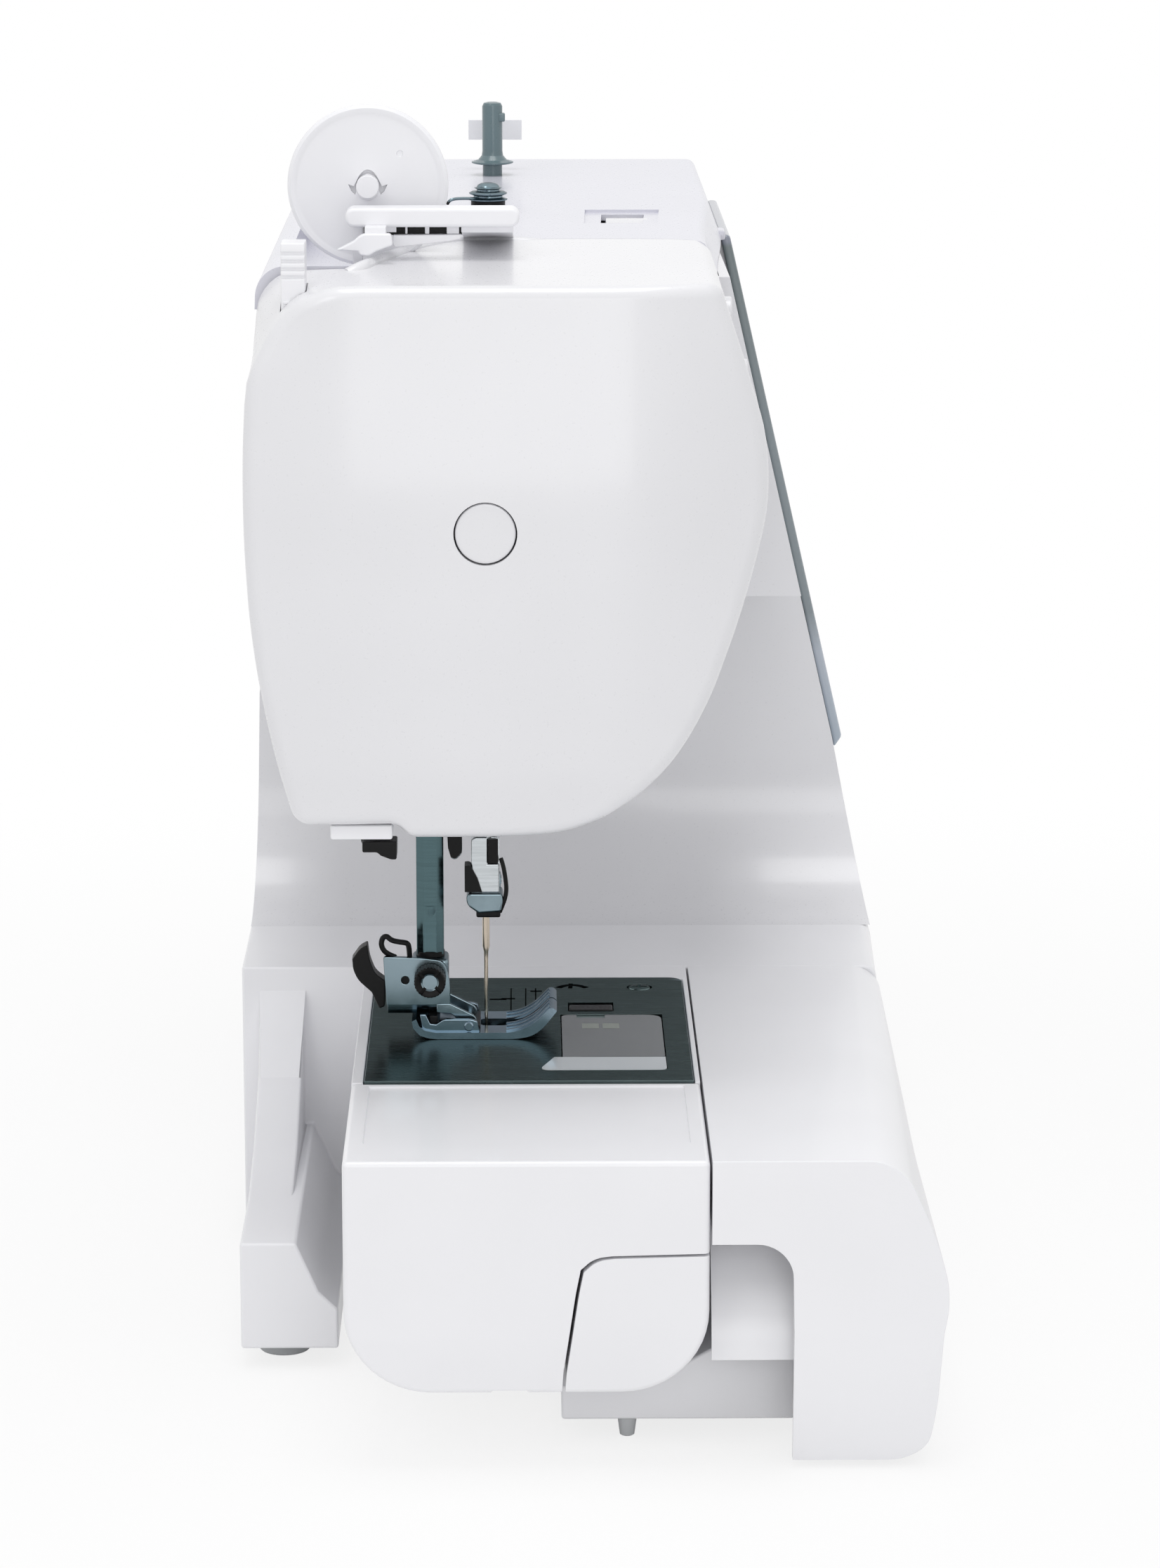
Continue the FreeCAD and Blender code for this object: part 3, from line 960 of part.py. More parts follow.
def presser():
    spot = ("needle_x", "presser_y")
    bar = rod("presser_rod", "Z", ("presser_low", "presser_top"), spot, "presser_radius")
    collar = rod("presser_collar", "Z", ("collar_low", "collar_low + collar_thick"), spot, "collar_radius")
    flat = box("presser_flat", ("needle_x - presser_radius - 1", "ankle_x + ankle_thick"),
               ("presser_y - 5", "presser_y + 5"), ("presser_low - 1", "ankle_high + 1"))
    tap = rod("presser_tap", "X", ("needle_x - presser_radius - 1", "needle_x + 1"),
              ("presser_y", "foot_screw_height"),
              "screw_radius + run_fit")
    node("presser_bar", cut("presser_whole", fuse("presser_solid", bar, collar), flat, tap))
    low = "collar_low + collar_thick"
    ring = doc.addObject("PartDesign::Body", "spring_body")
    role = [feature for feature in ring.Origin.OriginFeatures if feature.Role == "XZ_Plane"][0]
    sketch = ring.newObject("Sketcher::SketchObject", "spring_wire_sketch")
    sketch.AttachmentSupport = [(role, "")]
    sketch.MapMode = "FlatFace"
    centre = FreeCAD.Vector(value("spring_radius"), 0, 0)
    sketch.addGeometry(Part.Circle(centre, FreeCAD.Vector(0, 0, 1), value("spring_wire")), False)
    for kind, text in (("DistanceX", "spring_radius"), ("Radius", "spring_wire")):
        if kind == "Radius":
            where = sketch.addConstraint(Sketcher.Constraint("Radius", 0, value(text)))
        else:
            where = sketch.addConstraint(Sketcher.Constraint("DistanceX", -1, 1, 0, 3, value(text)))
        sketch.setExpression(f"Constraints[{where}]", full(text))
    sketch.addConstraint(Sketcher.Constraint("PointOnObject", 0, 3, -1))
    helix = ring.newObject("PartDesign::AdditiveHelix", "spring_coil")
    helix.Profile = sketch
    helix.ReferenceAxis = (sketch, ["V_Axis"])
    helix.Mode = 0
    bind(helix, Pitch=f"(spring_top - 2 * spring_wire - ({low})) / 5",
         Height=f"spring_top - 2 * spring_wire - ({low})")
    seat(ring, *spot, f"{low} + spring_wire")
    node("presser_spring", ring)


def foot_holder():
    plate = box("ankle_plate", ("ankle_x", "ankle_x + ankle_thick"), ("ankle_front", "ankle_rear"),
                ("ankle_low", "ankle_high"))
    base = box("ankle_base", ("ankle_x", "ankle_foot_end"), ("ankle_front", "ankle_rear"),
               ("ankle_foot_low", "ankle_low"))
    hole = rod("ankle_hole", "X", ("ankle_x - 1", "ankle_x + ankle_thick + 1"),
               ("presser_y", "foot_screw_height"),
               "screw_radius + run_fit")
    node("foot_holder", cut("ankle_whole", fuse("ankle_solid", plate, base), hole))
    screw("foot_screw", "needle_x", "ankle_x - play", -1, ("presser_y", "foot_screw_height"))
    outline = [
        ("ankle_rear + play", "ankle_foot_low + 1"), ("ankle_rear + 3.5", "ankle_foot_low + 1"),
        ("ankle_rear + 8.8", "ankle_high - 1"), ("ankle_rear + 7", "ankle_high + 3.4"),
        ("ankle_rear + 4.2", "ankle_high + 2.6"), ("ankle_rear + play", "ankle_low + 4"),
    ]
    node("release_lever", prism("release_block", "X", ("ankle_x", "ankle_x + release_thick"), outline))


def presser_foot():
    low = "(bed_height + plate_rise + sole_gap)"
    outline = [
        ("sole_heel", f"{low} + heel_relief"), ("foot_pin_y + 2", low), ("sole_front", low),
        ("-toe_tip + 3.5", "toe_height - 4.5"), ("-toe_tip", "toe_height"),
        ("-toe_tip + 2", "toe_height + 0.5"),
        ("sole_front - 1", f"{low} + sole_thick + 1"), ("sole_heel", f"{low} + heel_relief + sole_thick"),
    ]
    sole = prism("sole_block", "X", ("sole_start", "sole_end"), outline)
    needle_gap = box("sole_slot", ("needle_x - foot_slot / 2", "needle_x + foot_slot / 2"),
                     ("needle_y - 4", "needle_y + 4"), ("bed_height - 2", "bed_height + 12"))
    toe_gap = box("toe_slot", ("needle_x - 2", "needle_x + 2"), ("-toe_tip - 1", "needle_y"),
                  ("bed_height - 2", "bed_height + 12"))
    ears = [box(f"sole_ear_{i}", (x, f"{x} + 1.5"), ("foot_pin_y - 2.5", "foot_pin_y + 2.5"),
                (f"{low} + 1", "foot_ear + 0.5"))
            for i, x in enumerate(("needle_x - 7", "needle_x + 5.5"))]
    pin = rod("sole_pin", "X", ("needle_x - 7", "needle_x + 7"), ("foot_pin_y", "foot_ear"),
              "foot_pin_radius")
    node("presser_foot", fuse("foot_whole", cut("sole_cut", sole, needle_gap, toe_gap), *ears, pin))


def presser_lifter():
    spot = ("lifter_y", "lifter_height")
    span = ("lifter_x", "lifter_x + lifter_thick")
    hub = rod("lifter_hub_rod", "X", span, spot, "lifter_hub")
    outline = [
        ("lifter_y - 4", "lifter_height"), ("lifter_y - 4", "lifter_tip + 6"),
        ("lifter_y - 3", "lifter_tip"),
        ("lifter_y + 5", "lifter_tip"), ("lifter_y + 6", "lifter_tip + 6"),
        ("lifter_y + 4", "lifter_height"),
    ]
    handle = prism("lifter_handle", "X", span, outline)
    bore = rod("lifter_bore", "X", ("lifter_x - 1", "lifter_x + lifter_thick + 1"), spot,
               "lifter_pin + run_fit")
    node("presser_lifter", cut("lifter_whole", fuse("lifter_solid", hub, handle), bore))


def buttonhole_lever():
    tab = box("tab_block", ("tab_start", "tab_end"), ("tab_front", "tab_rear"),
              ("tab_low", "tab_low + tab_thick"))
    stem = box("tab_stem", ("stem_start", "stem_start + stem_thick"), ("stem_front", "stem_rear"),
               ("tab_low + tab_thick", "stem_top"))
    node("buttonhole_lever", fuse("tab_whole", tab, stem))


# Drives

def main_shaft():
    centre = ("needle_y", "shaft_height")
    shaft = rod("upper_rod", "X", ("crank_start", "length - 3"), centre, "shaft_radius")
    disc = rod("crank_disc", "X", ("crank_start", "crank_start + crank_thick"), centre, "crank_radius")
    pin = rod("crank_pin", "X", ("crank_pin_start", "crank_start"),
              ("needle_y + crank_throw", "shaft_height"),
              "crank_pin_radius")
    pulley = rod("upper_pulley", "X", ("pulley_start", "pulley_start + pulley_width"), centre,
                 "pulley_radius")
    node("main_shaft", fuse("upper_whole", shaft, disc, pin, pulley))


def lower_shaft():
    centre = ("needle_y", "lower_height")
    shaft = rod("lower_rod", "X", ("lower_start", "frame_column_end - 4"), centre, "lower_radius")
    gear = rod("lower_gear", "X", ("hook_x - drive_gear_length / 2", "hook_x + drive_gear_length / 2"),
               centre,
               "needle_y + hook_y - hook_gear_radius - play")
    pulley = rod("lower_pulley", "X", ("pulley_start", "pulley_start + pulley_width"), centre,
                 "pulley_radius")
    driven = rod("drive_pulley", "X", ("drive_start", "drive_start + drive_width"), centre, "pulley_radius")
    node("lower_shaft", fuse("lower_whole", shaft, gear, pulley, driven))


def handwheel():
    centre = ("needle_y", "shaft_height")
    wheel = rod("wheel_disc", "X", ("wheel_start", "length"), centre, "wheel_radius")
    dish = rod("wheel_recess", "X", ("length - wheel_dish_depth", "length + 1"), centre, "wheel_dish")
    bore = rod("wheel_bore", "X", ("wheel_start - 1", "length + 1"), centre, "shaft_radius")
    hub = rod("wheel_hub", "X", ("length - wheel_dish_depth - 1", "length - 1"), centre, "shaft_radius + 6")
    node("handwheel", cut("wheel_whole", fuse("wheel_solid", cut("wheel_dished", wheel, dish), hub), bore))


def timing_belt():
    centres = ("shaft_height", "lower_height")
    node("timing_belt", belt("timing", ("pulley_start + belt_margin",
                                        "pulley_start + pulley_width - belt_margin"),
                             centres))


def belt(name, span, heights):
    """A belt round two equal pulleys, one above the other."""
    parts = []
    for ring, grow in (("outer", "play + belt_thick"), ("inner", "play")):
        radius = f"pulley_radius + {grow}"
        margin = "0" if ring == "outer" else "1"
        reach = (f"{span[0]} - {margin}", f"{span[1]} + {margin}")
        pieces = [rod(f"{name}_{ring}_{i}", "X", reach, ("needle_y", z), radius)
                  for i, z in enumerate(heights)]
        pieces.append(box(f"{name}_{ring}_run", reach, (f"needle_y - ({radius})", f"needle_y + {radius}"),
                          (heights[1], heights[0])))
        parts.append(fuse(f"{name}_{ring}", *pieces))
    return cut(f"{name}_loop", *parts)


def motor_belt():
    """The flat belt from the motor's small pulley to the lower shaft, as tangent runs and two arcs."""
    shapes = []
    for ring, grow in (("outer", "play + belt_thick"), ("inner", "play")):
        margin = "0" if ring == "outer" else "1"
        reach = (f"drive_start + belt_margin - {margin}",
                 f"drive_start + drive_width - belt_margin + {margin}")
        big, small = f"(pulley_radius + {grow})", f"(motor_pulley_radius + {grow})"
        gap = "(needle_y + motor_y)"
        lean = f"(({big} - {small}) / {gap})"
        rise = f"sqrt(1 - {lean} * {lean})"
        outline = [
            (f"needle_y - {big} * {lean}", f"lower_height + {big} * {rise}"),
            (f"-motor_y - {small} * {lean}", f"lower_height + {small} * {rise}"),
            (f"-motor_y - {small} * {lean}", f"lower_height - {small} * {rise}"),
            (f"needle_y - {big} * {lean}", f"lower_height - {big} * {rise}"),
        ]
        web = prism(f"drive_{ring}_web", "X", reach, outline)
        large = rod(f"drive_{ring}_large", "X", reach, ("needle_y", "lower_height"), big)
        little = rod(f"drive_{ring}_small", "X", reach, ("-motor_y", "lower_height"), small)
        shapes.append(fuse(f"drive_{ring}", web, large, little))
    node("motor_belt", cut("drive_loop", *shapes))


def motor():
    centre = ("-motor_y", "lower_height")
    can = rod("motor_can", "X", ("motor_start", "motor_start + motor_length"), centre, "motor_radius")
    bore = rod("motor_bore", "X", ("motor_start - 1", "motor_start + 20"), centre,
               "motor_shaft_radius + run_fit")
    stand = box("motor_stand", ("motor_start + 4", "motor_start + motor_length - 4"),
                ("-motor_y - 14", "-motor_y + 14"),
                ("base_underside + floor_thick", "lower_height"))
    node("motor", cut("motor_whole", fuse("motor_solid", can, stand), bore))
    shaft = rod("motor_spindle", "X", ("drive_start - 2", "motor_start + 19.5"), centre,
                "motor_shaft_radius")
    pulley = rod("motor_wheel", "X", ("drive_start", "drive_start + drive_width"), centre,
                 "motor_pulley_radius")
    node("motor_pulley", fuse("motor_rotor", shaft, pulley))


# Cast frame

def cast_frame():
    solids = [
        box("frame_beam", ("head_plate", "frame_column_end"), ("beam_front", "beam_rear"),
            ("beam_low", "beam_high")),
        box("frame_head", ("head_plate", "head_plate + head_plate_thick"), ("-16", "jaw_rear - 10"),
            ("jaw_height - 6", "beam_high")),
        box("frame_jaw", ("head_plate", "head_plate + head_plate_thick"),
            ("-chin_front + wall + 0.5", "chin_rear - 5"),
            ("bracket_low", "jaw_height - 5")),
        box("frame_post", ("frame_column", "frame_column_end"), ("beam_front", "beam_rear"),
            ("base_underside + floor_thick", "beam_high")),
        box("frame_bracket", ("bracket_start", "head_plate + 1"),
            ("needle_y - 6.5", "lifter_y - lifter_hub - 1.5"),
            ("bracket_low", "bracket_high")),
        box("presser_bush", ("bracket_start", "needle_x + 4.6"), ("presser_y - 6", "presser_y + 6"),
            ("upper_bush_low", "upper_bush_high")),
        box("presser_bush_arm", ("bracket_start", "head_plate + 1"), ("presser_y + 4.4", "presser_y + 12"),
            ("upper_bush_low", "upper_bush_high")),
        box("needle_bush", ("needle_x - 5", "needle_x + 3.9"), ("-16", "needle_y + 5"),
            ("top_bush_low", "top_bush_high")),
        box("needle_bush_arm", ("needle_x - 5", "head_plate + 1"), ("-16", "-10"),
            ("top_bush_low", "top_bush_high")),
        box("main_bearing", ("frame_column", "frame_column + 10"), ("needle_y - 9", "beam_front + 1"),
            ("shaft_height - 9", "shaft_height + 9")),
        rod("lifter_stud", "X", ("lifter_x", "head_plate + 1"), ("lifter_y", "lifter_height"),
            "lifter_pin"),
        rod("takeup_stud", "X", ("takeup_x", "head_plate + 1"), ("-takeup_y", "takeup_height"),
            "takeup_pin"),
        box("takeup_cheek", ("head_plate", "head_plate + head_plate_thick"), ("-takeup_y - 6", "-15"),
            ("takeup_height - 7", "takeup_height + 7")),
    ] + bed_frame()
    bores = [
        rod("bore_needle", "Z", ("bracket_low - 1", "top_bush_high + 1"), ("needle_x", "needle_y"),
            "bar_radius + run_fit"),
        rod("bore_presser", "Z", ("bracket_low - 1", "upper_bush_high + 1"), ("needle_x", "presser_y"),
            "presser_radius + run_fit"),
        rod("bore_main", "X", ("head_plate - 1", "body_end"), ("needle_y", "shaft_height"),
            "shaft_radius + run_fit"),
        rod("bore_lower", "X", ("bed_beam_start", "body_end"), ("needle_y", "lower_height"),
            "lower_radius + run_fit"),
        rod("bore_hook", "Z", ("bed_beam_low", "bed_height"), ("hook_x", "-hook_y"),
            "hook_shaft + run_fit"),
    ]
    node("cast_frame", cut("frame_whole", fuse("frame_solid", *solids), *bores))


def bed_frame():
    plate_low = "bed_height + plate_rise - plate_thick"
    return [
        box("bed_beam", ("bed_beam_start", "frame_column + 1"), ("bed_beam_front", "bed_beam_rear"),
            ("bed_beam_low", "bed_beam_high")),
        box("hook_block", ("hook_x - 18", "hook_x + 12"), ("-hook_y - 9", "-hook_y + hook_gear_radius - 1"),
            ("hook_low - play - hook_block_thick", "hook_low - play")),
        box("hook_block_arm", ("hook_x - 18", "hook_x - drive_gear_length / 2 - 2"),
            ("-hook_y", "bed_beam_front + 1"), ("hook_low - play - hook_block_thick", "hook_low - play")),
        box("hook_block_rise", ("hook_x - 18", "hook_x - drive_gear_length / 2 - 2"),
            ("bed_beam_front", "bed_beam_rear"), ("bed_beam_high - 1", "hook_low - play")),
        box("lower_bearing", ("head_end - 5", "head_end + 5"), ("needle_y - 8", "bed_beam_front + 1"),
            ("lower_height - 6", "lower_height + 5")),
        box("lower_bearing_end", ("frame_column", "frame_column + 10"), ("needle_y - 8", "beam_front + 1"),
            ("lower_height - 8", "lower_height + 8")),
        box("post_link", ("frame_column", "frame_column + 10"), ("bed_beam_front", "beam_rear - 1"),
            ("bed_beam_low", "bed_beam_high")),
        box("plate_seat_rear", ("plate_screw_x - 7", "plate_end - 1"),
            ("plate_screw_y - 5", "bed_beam_rear"),
            ("bed_beam_high - 1", plate_low)),
        box("plate_seat_arm", ("plate_screw_x + 2", "plate_end - 1"),
            ("-plate_screw_y - 5", "bed_beam_rear"),
            (f"{plate_low} - 6", plate_low)),
        box("plate_seat_front", ("plate_screw_x - 7", "plate_end - 1"),
            ("-plate_screw_y - 5", "-plate_screw_y + 5"),
            (f"{plate_low} - 6", plate_low)),
        box("door_seat", ("door_start - 5", "door_start + 4"), ("-door_front + 2", "bed_beam_front + 1"),
            (f"{plate_low} - 4", plate_low)),
        box("plate_seat_end", ("plate_start + 2", "plate_start + 8"),
            ("bed_beam_front", "bed_beam_rear"),
            ("bed_beam_high - 1", plate_low)),
    ]


# Top of the machine

def guide_bar():
    bar = box("guide_rail", ("guide_start", "guide_end"), ("guide_front", "guide_rear"),
              ("guide_low", "guide_high"))
    front = box("guide_post_a", ("guide_start", "guide_end"),
                ("guide_post_front", "guide_post_front + guide_post_width"),
                ("well_floor", "guide_low + 1"))
    rear = box("guide_post_b", ("guide_start + 1", "guide_end - 1"),
               ("guide_post_rear", "guide_rear - 0.5"),
               ("well_floor", "guide_low + 1"))
    outline = [("guard_rear", "well_floor"), ("guard_front", "well_floor"), ("guard_front", "guard_high"),
               ("guard_rear - 14", "guard_high"), ("guard_rear", "guard_high - 6")]
    guard = prism("thread_guard", "X", ("guard_start", "guard_start + guard_thick"), outline)
    sill = box("guard_sill", ("guard_start", "guide_end"), ("guide_post_front", "guide_rear - 0.5"),
               ("well_floor", "well_floor + 1.5"))
    node("guide_bar", fuse("guide_whole", bar, front, rear, guard, sill))


def spool_parts():
    centre = ("spool_y", "spool_height")
    pin = rod("spool_rod", "X", ("spool_pin_start", "spool_post_start + 1"), centre, "spool_pin_radius")
    post = box("spool_post", ("spool_post_start", "spool_post_start + spool_post_thick"),
               ("spool_y - 5", "spool_y + 5"),
               ("well_floor", "spool_height + 5"))
    node("spool_pin", fuse("spool_whole", pin, post))
    disc = rod("spool_disc", "X", ("spool_cap_start", "spool_cap_start + spool_cap_thick"), centre,
               "spool_cap_radius")
    hub = rod("spool_hub", "X", ("spool_cap_start",
                                 "spool_cap_start + spool_cap_thick + spool_hub_length"), centre,
              "spool_hub_radius")
    bore = rod("spool_bore", "X", ("spool_cap_start - 1", "spool_cap_start + 20"), centre,
               "spool_pin_radius + run_fit")
    node("spool_cap", cut("spool_cap_whole", fuse("spool_cap_solid", disc, hub), bore))


def winder():
    spot = ("winder_x", "winder_y")
    shaft = rod("winder_rod", "Z", ("winder_foot", "winder_top"), spot, "winder_radius")
    flange = rod("winder_flange", "Z", ("winder_flange_low", "winder_flange_low + winder_flange_thick"),
                 spot,
                 "winder_flange_radius")
    tyre = rod("winder_tyre", "Z", ("winder_foot", "winder_foot + 4"), spot, "winder_flange_radius + 2")
    catch = box("winder_catch", ("winder_x - 0.6", "winder_x + 0.6"),
                ("winder_y - winder_radius - 0.8", "winder_y"),
                ("winder_top - 6", "winder_top - 2"))
    node("winder_spindle", fuse("winder_whole", shaft, flange, tyre, catch))
    post = rod("stopper_post_rod", "Z", ("top_height", "stopper_low + 1"),
               ("stopper_start + stopper_thick / 2", "winder_y"),
               "stopper_thick / 2")
    plate = box("stopper_plate", ("stopper_start", "stopper_start + stopper_thick"),
                ("stopper_front", "stopper_rear"),
                ("stopper_low", "stopper_high"))
    node("winder_stopper", fuse("stopper_whole", post, plate))
    tens = ("tens_x", "tens_y")
    base = rod("tens_base_rod", "Z", ("top_height", "top_height + tens_base"), tens, "tens_radius")
    stem = rod("tens_stem", "Z", ("top_height", "top_height + tens_base + 4"), tens, "tens_pin")
    disc = rod("tens_plate", "Z", ("top_height + tens_base", "top_height + tens_base + tens_disc"), tens,
               "tens_radius")
    node("winder_tensioner", fuse("tens_whole", base, stem, disc))


def tension_dial():
    centre = ("dial_x", "dial_height")
    wheel = rod("dial_wheel", "Y", ("-dial_front", "-dial_rear"), centre, "dial_radius - play")
    bore = rod("dial_bore", "Y", ("-dial_front - 1", "-dial_rear + 1"), centre, "dial_axle + run_fit")
    node("tension_dial", cut("dial_whole", wheel, bore))


def thread_cutter():
    tab = box("cutter_tab", ("cutter_start", "cutter_end"), ("cutter_front", "cutter_rear"),
              ("top_height - 14", "cutter_top"))
    ridges = [box(f"cutter_groove_{i}", ("cutter_start - 1", "cutter_start + 0.7"),
                  ("cutter_front - 1", "cutter_rear + 1"), (f"cutter_top - {3 + 2 * i}",
                                                            f"cutter_top - {2.2 + 2 * i}"))
              for i in range(4)]
    node("thread_cutter", cut("cutter_whole", tab, *ridges))


# Controls, sockets and electrics

def fascia():
    inner_top = (front_plane("panel_top"), "panel_top")
    inner_low = ("-panel_foot_front", "panel_foot_height")
    lean = "(column_foot_front - panel_foot_front) / (panel_foot_height - bed_height)"
    outline = [
        inner_top, inner_low, (f"-panel_foot_front - panel_lip * {lean}", "panel_foot_height - panel_lip"),
        ("-panel_foot_front - panel_thick", "panel_foot_height"),
        (front_plane("panel_top", "panel_thick"), "panel_top"),
    ]
    node("fascia_panel", prism("panel_block", "X", ("panel_start", "panel_end"), outline))
    window = [(front_plane(z, p), z) for z, p in (
        ("window_high", "panel_thick"), ("window_low", "panel_thick"),
        ("window_low", "panel_thick + window_thick"), ("window_high", "panel_thick + window_thick"))]
    node("display_window", prism("window_block", "X", ("window_start", "window_end"), window))


def control_board():
    board = [(front_plane(z, p), z) for z, p in (
        ("board_high", "-wall - play"), ("board_low", "-wall - play"),
        ("board_low", "-wall - play - board_thick"), ("board_high", "-wall - play - board_thick"))]
    node("control_board", prism("board_block", "X", ("board_start", "board_end"), board))


def buttons():
    for name in ("start", "reverse"):
        plunger = rod(f"{name}_plunger", "Y", (f"-{name}_face", f"-{name}_face + button_length"),
                      ("button_x", f"{name}_height"), "button_radius")
        node(f"{name}_button", plunger)
    thumb = box("slider_thumb", ("slider_start", "slider_start + slider_length"),
                ("-slider_face", "-slider_face + slider_thick"), ("slider_low", "slider_high"))
    neck = box("slider_stem", ("slider_start", "slider_start + slider_length"),
               ("-slider_face + slider_thick", "-slider_face + slider_thick + slider_neck"),
               ("slider_neck_low", "slider_neck_high"))
    node("speed_slider", fuse("slider_whole", thumb, neck))


def power_parts():
    rocker = box("rocker_block", ("rocker_start", "rocker_start + rocker_depth"),
                 ("-rocker_y - rocker_width / 2", "-rocker_y + rocker_width / 2"),
                 ("rocker_height - rocker_tall / 2", "rocker_height + rocker_tall / 2"))
    node("power_switch", rocker)
    socket = box("inlet_block", ("body_end - inlet_depth", "body_end"),
                 ("-inlet_y - inlet_width / 2", "-inlet_y + inlet_width / 2"),
                 ("inlet_low", "inlet_high"))
    hollow = box("inlet_hollow", ("body_end - inlet_depth + inlet_back", "body_end + 1"),
                 ("-inlet_y - inlet_width / 2 + inlet_wall", "-inlet_y + inlet_width / 2 - inlet_wall"),
                 ("inlet_low + inlet_wall", "inlet_high - inlet_wall"))
    mid_z = "(inlet_low + inlet_high) / 2"
    pins = [rod(f"inlet_pin_{i}", "X", ("body_end - inlet_depth + 1", "body_end - 3"),
                (f"-inlet_y + {dy}", mid_z), "1.2")
            for i, dy in enumerate((-5, 5))]
    node("power_inlet", fuse("inlet_whole", cut("inlet_cut", socket, hollow), *pins))
    lever = box("lever_block", ("lever_x", "lever_x + lever_width"),
                ("rear_reach - wall - 6", "rear_reach - 0.2"),
                ("lever_low", "lever_low + lever_tall"))
    node("drop_feed_lever", lever)


def check_objects():
    for thing in doc.Objects:
        state = " ".join(thing.State)
        if "Invalid" in state or "Error" in state:
            raise RuntimeError(f"{thing.Label}: {state}")
    for thing in nodes:
        if thing.Shape.isNull() or not thing.Shape.isValid() or not thing.Shape.Solids:
            raise RuntimeError(f"{thing.Label}: no valid solid")


def export():
    os.makedirs("parts", exist_ok=True)
    for thing in nodes:
        thing.Shape.exportStep(f"parts/{thing.Label}.step")


def build():
    fill_sheet()
    for make in (
        bed_cover, base_pan, rubber_feet, column_cover, arm_cover, face_cover, face_cap, top_cover,
        free_arm_cover, arm_end, extension_table, needle_plate, plate_screws, hook_door, hook, bobbin, feed,
        needle_group, connecting_rod, take_up_lever, presser, foot_holder, presser_foot, presser_lifter,
        buttonhole_lever, main_shaft, lower_shaft, handwheel, timing_belt, motor_belt, motor, cast_frame,
        guide_bar, spool_parts, winder, tension_dial, thread_cutter, fascia, control_board, buttons,
        power_parts,
    ):
        make()
    doc.recompute()
    check_objects()
    export()


build()
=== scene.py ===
"""A free-arm sewing machine: its finished pieces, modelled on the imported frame."""

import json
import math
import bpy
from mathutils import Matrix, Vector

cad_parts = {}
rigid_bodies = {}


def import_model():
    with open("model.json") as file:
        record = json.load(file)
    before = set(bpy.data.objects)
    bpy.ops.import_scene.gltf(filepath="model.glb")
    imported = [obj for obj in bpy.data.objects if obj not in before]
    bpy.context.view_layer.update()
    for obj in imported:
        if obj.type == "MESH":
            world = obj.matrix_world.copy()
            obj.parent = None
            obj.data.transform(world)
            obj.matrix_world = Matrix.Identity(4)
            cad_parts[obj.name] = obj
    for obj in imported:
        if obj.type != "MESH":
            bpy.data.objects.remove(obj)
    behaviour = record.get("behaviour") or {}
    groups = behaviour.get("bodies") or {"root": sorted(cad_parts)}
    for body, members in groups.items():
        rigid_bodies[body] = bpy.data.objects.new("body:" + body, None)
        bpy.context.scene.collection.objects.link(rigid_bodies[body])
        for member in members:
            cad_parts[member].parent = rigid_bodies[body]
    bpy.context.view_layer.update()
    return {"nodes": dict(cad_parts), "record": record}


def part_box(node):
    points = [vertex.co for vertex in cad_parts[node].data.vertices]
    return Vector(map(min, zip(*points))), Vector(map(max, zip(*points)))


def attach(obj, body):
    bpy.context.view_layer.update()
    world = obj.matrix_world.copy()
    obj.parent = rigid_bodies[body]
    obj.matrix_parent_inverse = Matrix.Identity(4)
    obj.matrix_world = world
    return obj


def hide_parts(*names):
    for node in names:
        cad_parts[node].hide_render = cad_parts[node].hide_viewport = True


bl_info = {
    "name": "Sewing Machine",
    "version": (1, 0, 0),
    "blender": (4, 5, 0),
    "location": "3D View > Sidebar > Sewing Machine",
    "description": "Covers, needle works, controls and stage of a free-arm sewing machine",
    "category": "Object",
}

import bmesh
import bpy
from mathutils import Euler, Vector

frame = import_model()
MM = 0.001
RECORD = frame["record"]
BODY_OF = {n: b for b, members in RECORD["behaviour"]["bodies"].items() for n in members}
SLOT_OF = {part["node"]: part["material_slot"] for part in RECORD["subparts"]}
TINY = 0.01 * MM

# Places in millimetres that several pieces share: along the machine from the arm's free end,
# across it from the arm's middle line, or above the table.
NEEDLE = (122, 11)
PRESSER = (122, 26.2)
HEAD_FRONT = 50
COLUMN_START = 237
LID_TOP = 295.5
BED_TOP = 82


# Selecting, adding and placing


def only(obj):
    """Makes obj the one selected and active object."""
    if bpy.context.object and bpy.context.object.mode != "OBJECT":
        bpy.ops.object.mode_set(mode="OBJECT")
    bpy.ops.object.select_all(action="DESELECT")
    obj.hide_set(False)
    obj.select_set(True)
    bpy.context.view_layer.objects.active = obj
    return obj


def named(name):
    """The object just added, under its own name and at the origin."""
    obj = bpy.context.object
    obj.name = name
    obj.data.name = name
    bpy.ops.object.transform_apply(location=True, rotation=True, scale=True)
    return obj


def sides(node):
    """Left, right, front, back, bottom and top of a CAD piece at rest, in metres."""
    low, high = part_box(node)
    return low.x, high.x, low.y, high.y, low.z, high.z


def middle(node):
    """The centre of a CAD piece's box."""
    low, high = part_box(node)
    return (low + high) / 2


DATUM = Vector((sides("arm_end_cap")[0], middle("needle").y - NEEDLE[1] * MM, 0.0))


def spot(along, across, up):
    """A place in millimetres from the arm's free end, from its middle line and above the table."""
    return DATUM + Vector((along, across, up)) * MM


def up(height):
    """The way straight up by so many metres."""
    return Vector((0, 0, height))


def end_view(along, *pairs):
    """Corners of an outline seen from the arm's free end."""
    return [spot(along, across, up) for across, up in pairs]


def top_view(up, *pairs):
    """Corners of an outline seen from above."""
    return [spot(along, across, up) for along, across in pairs]


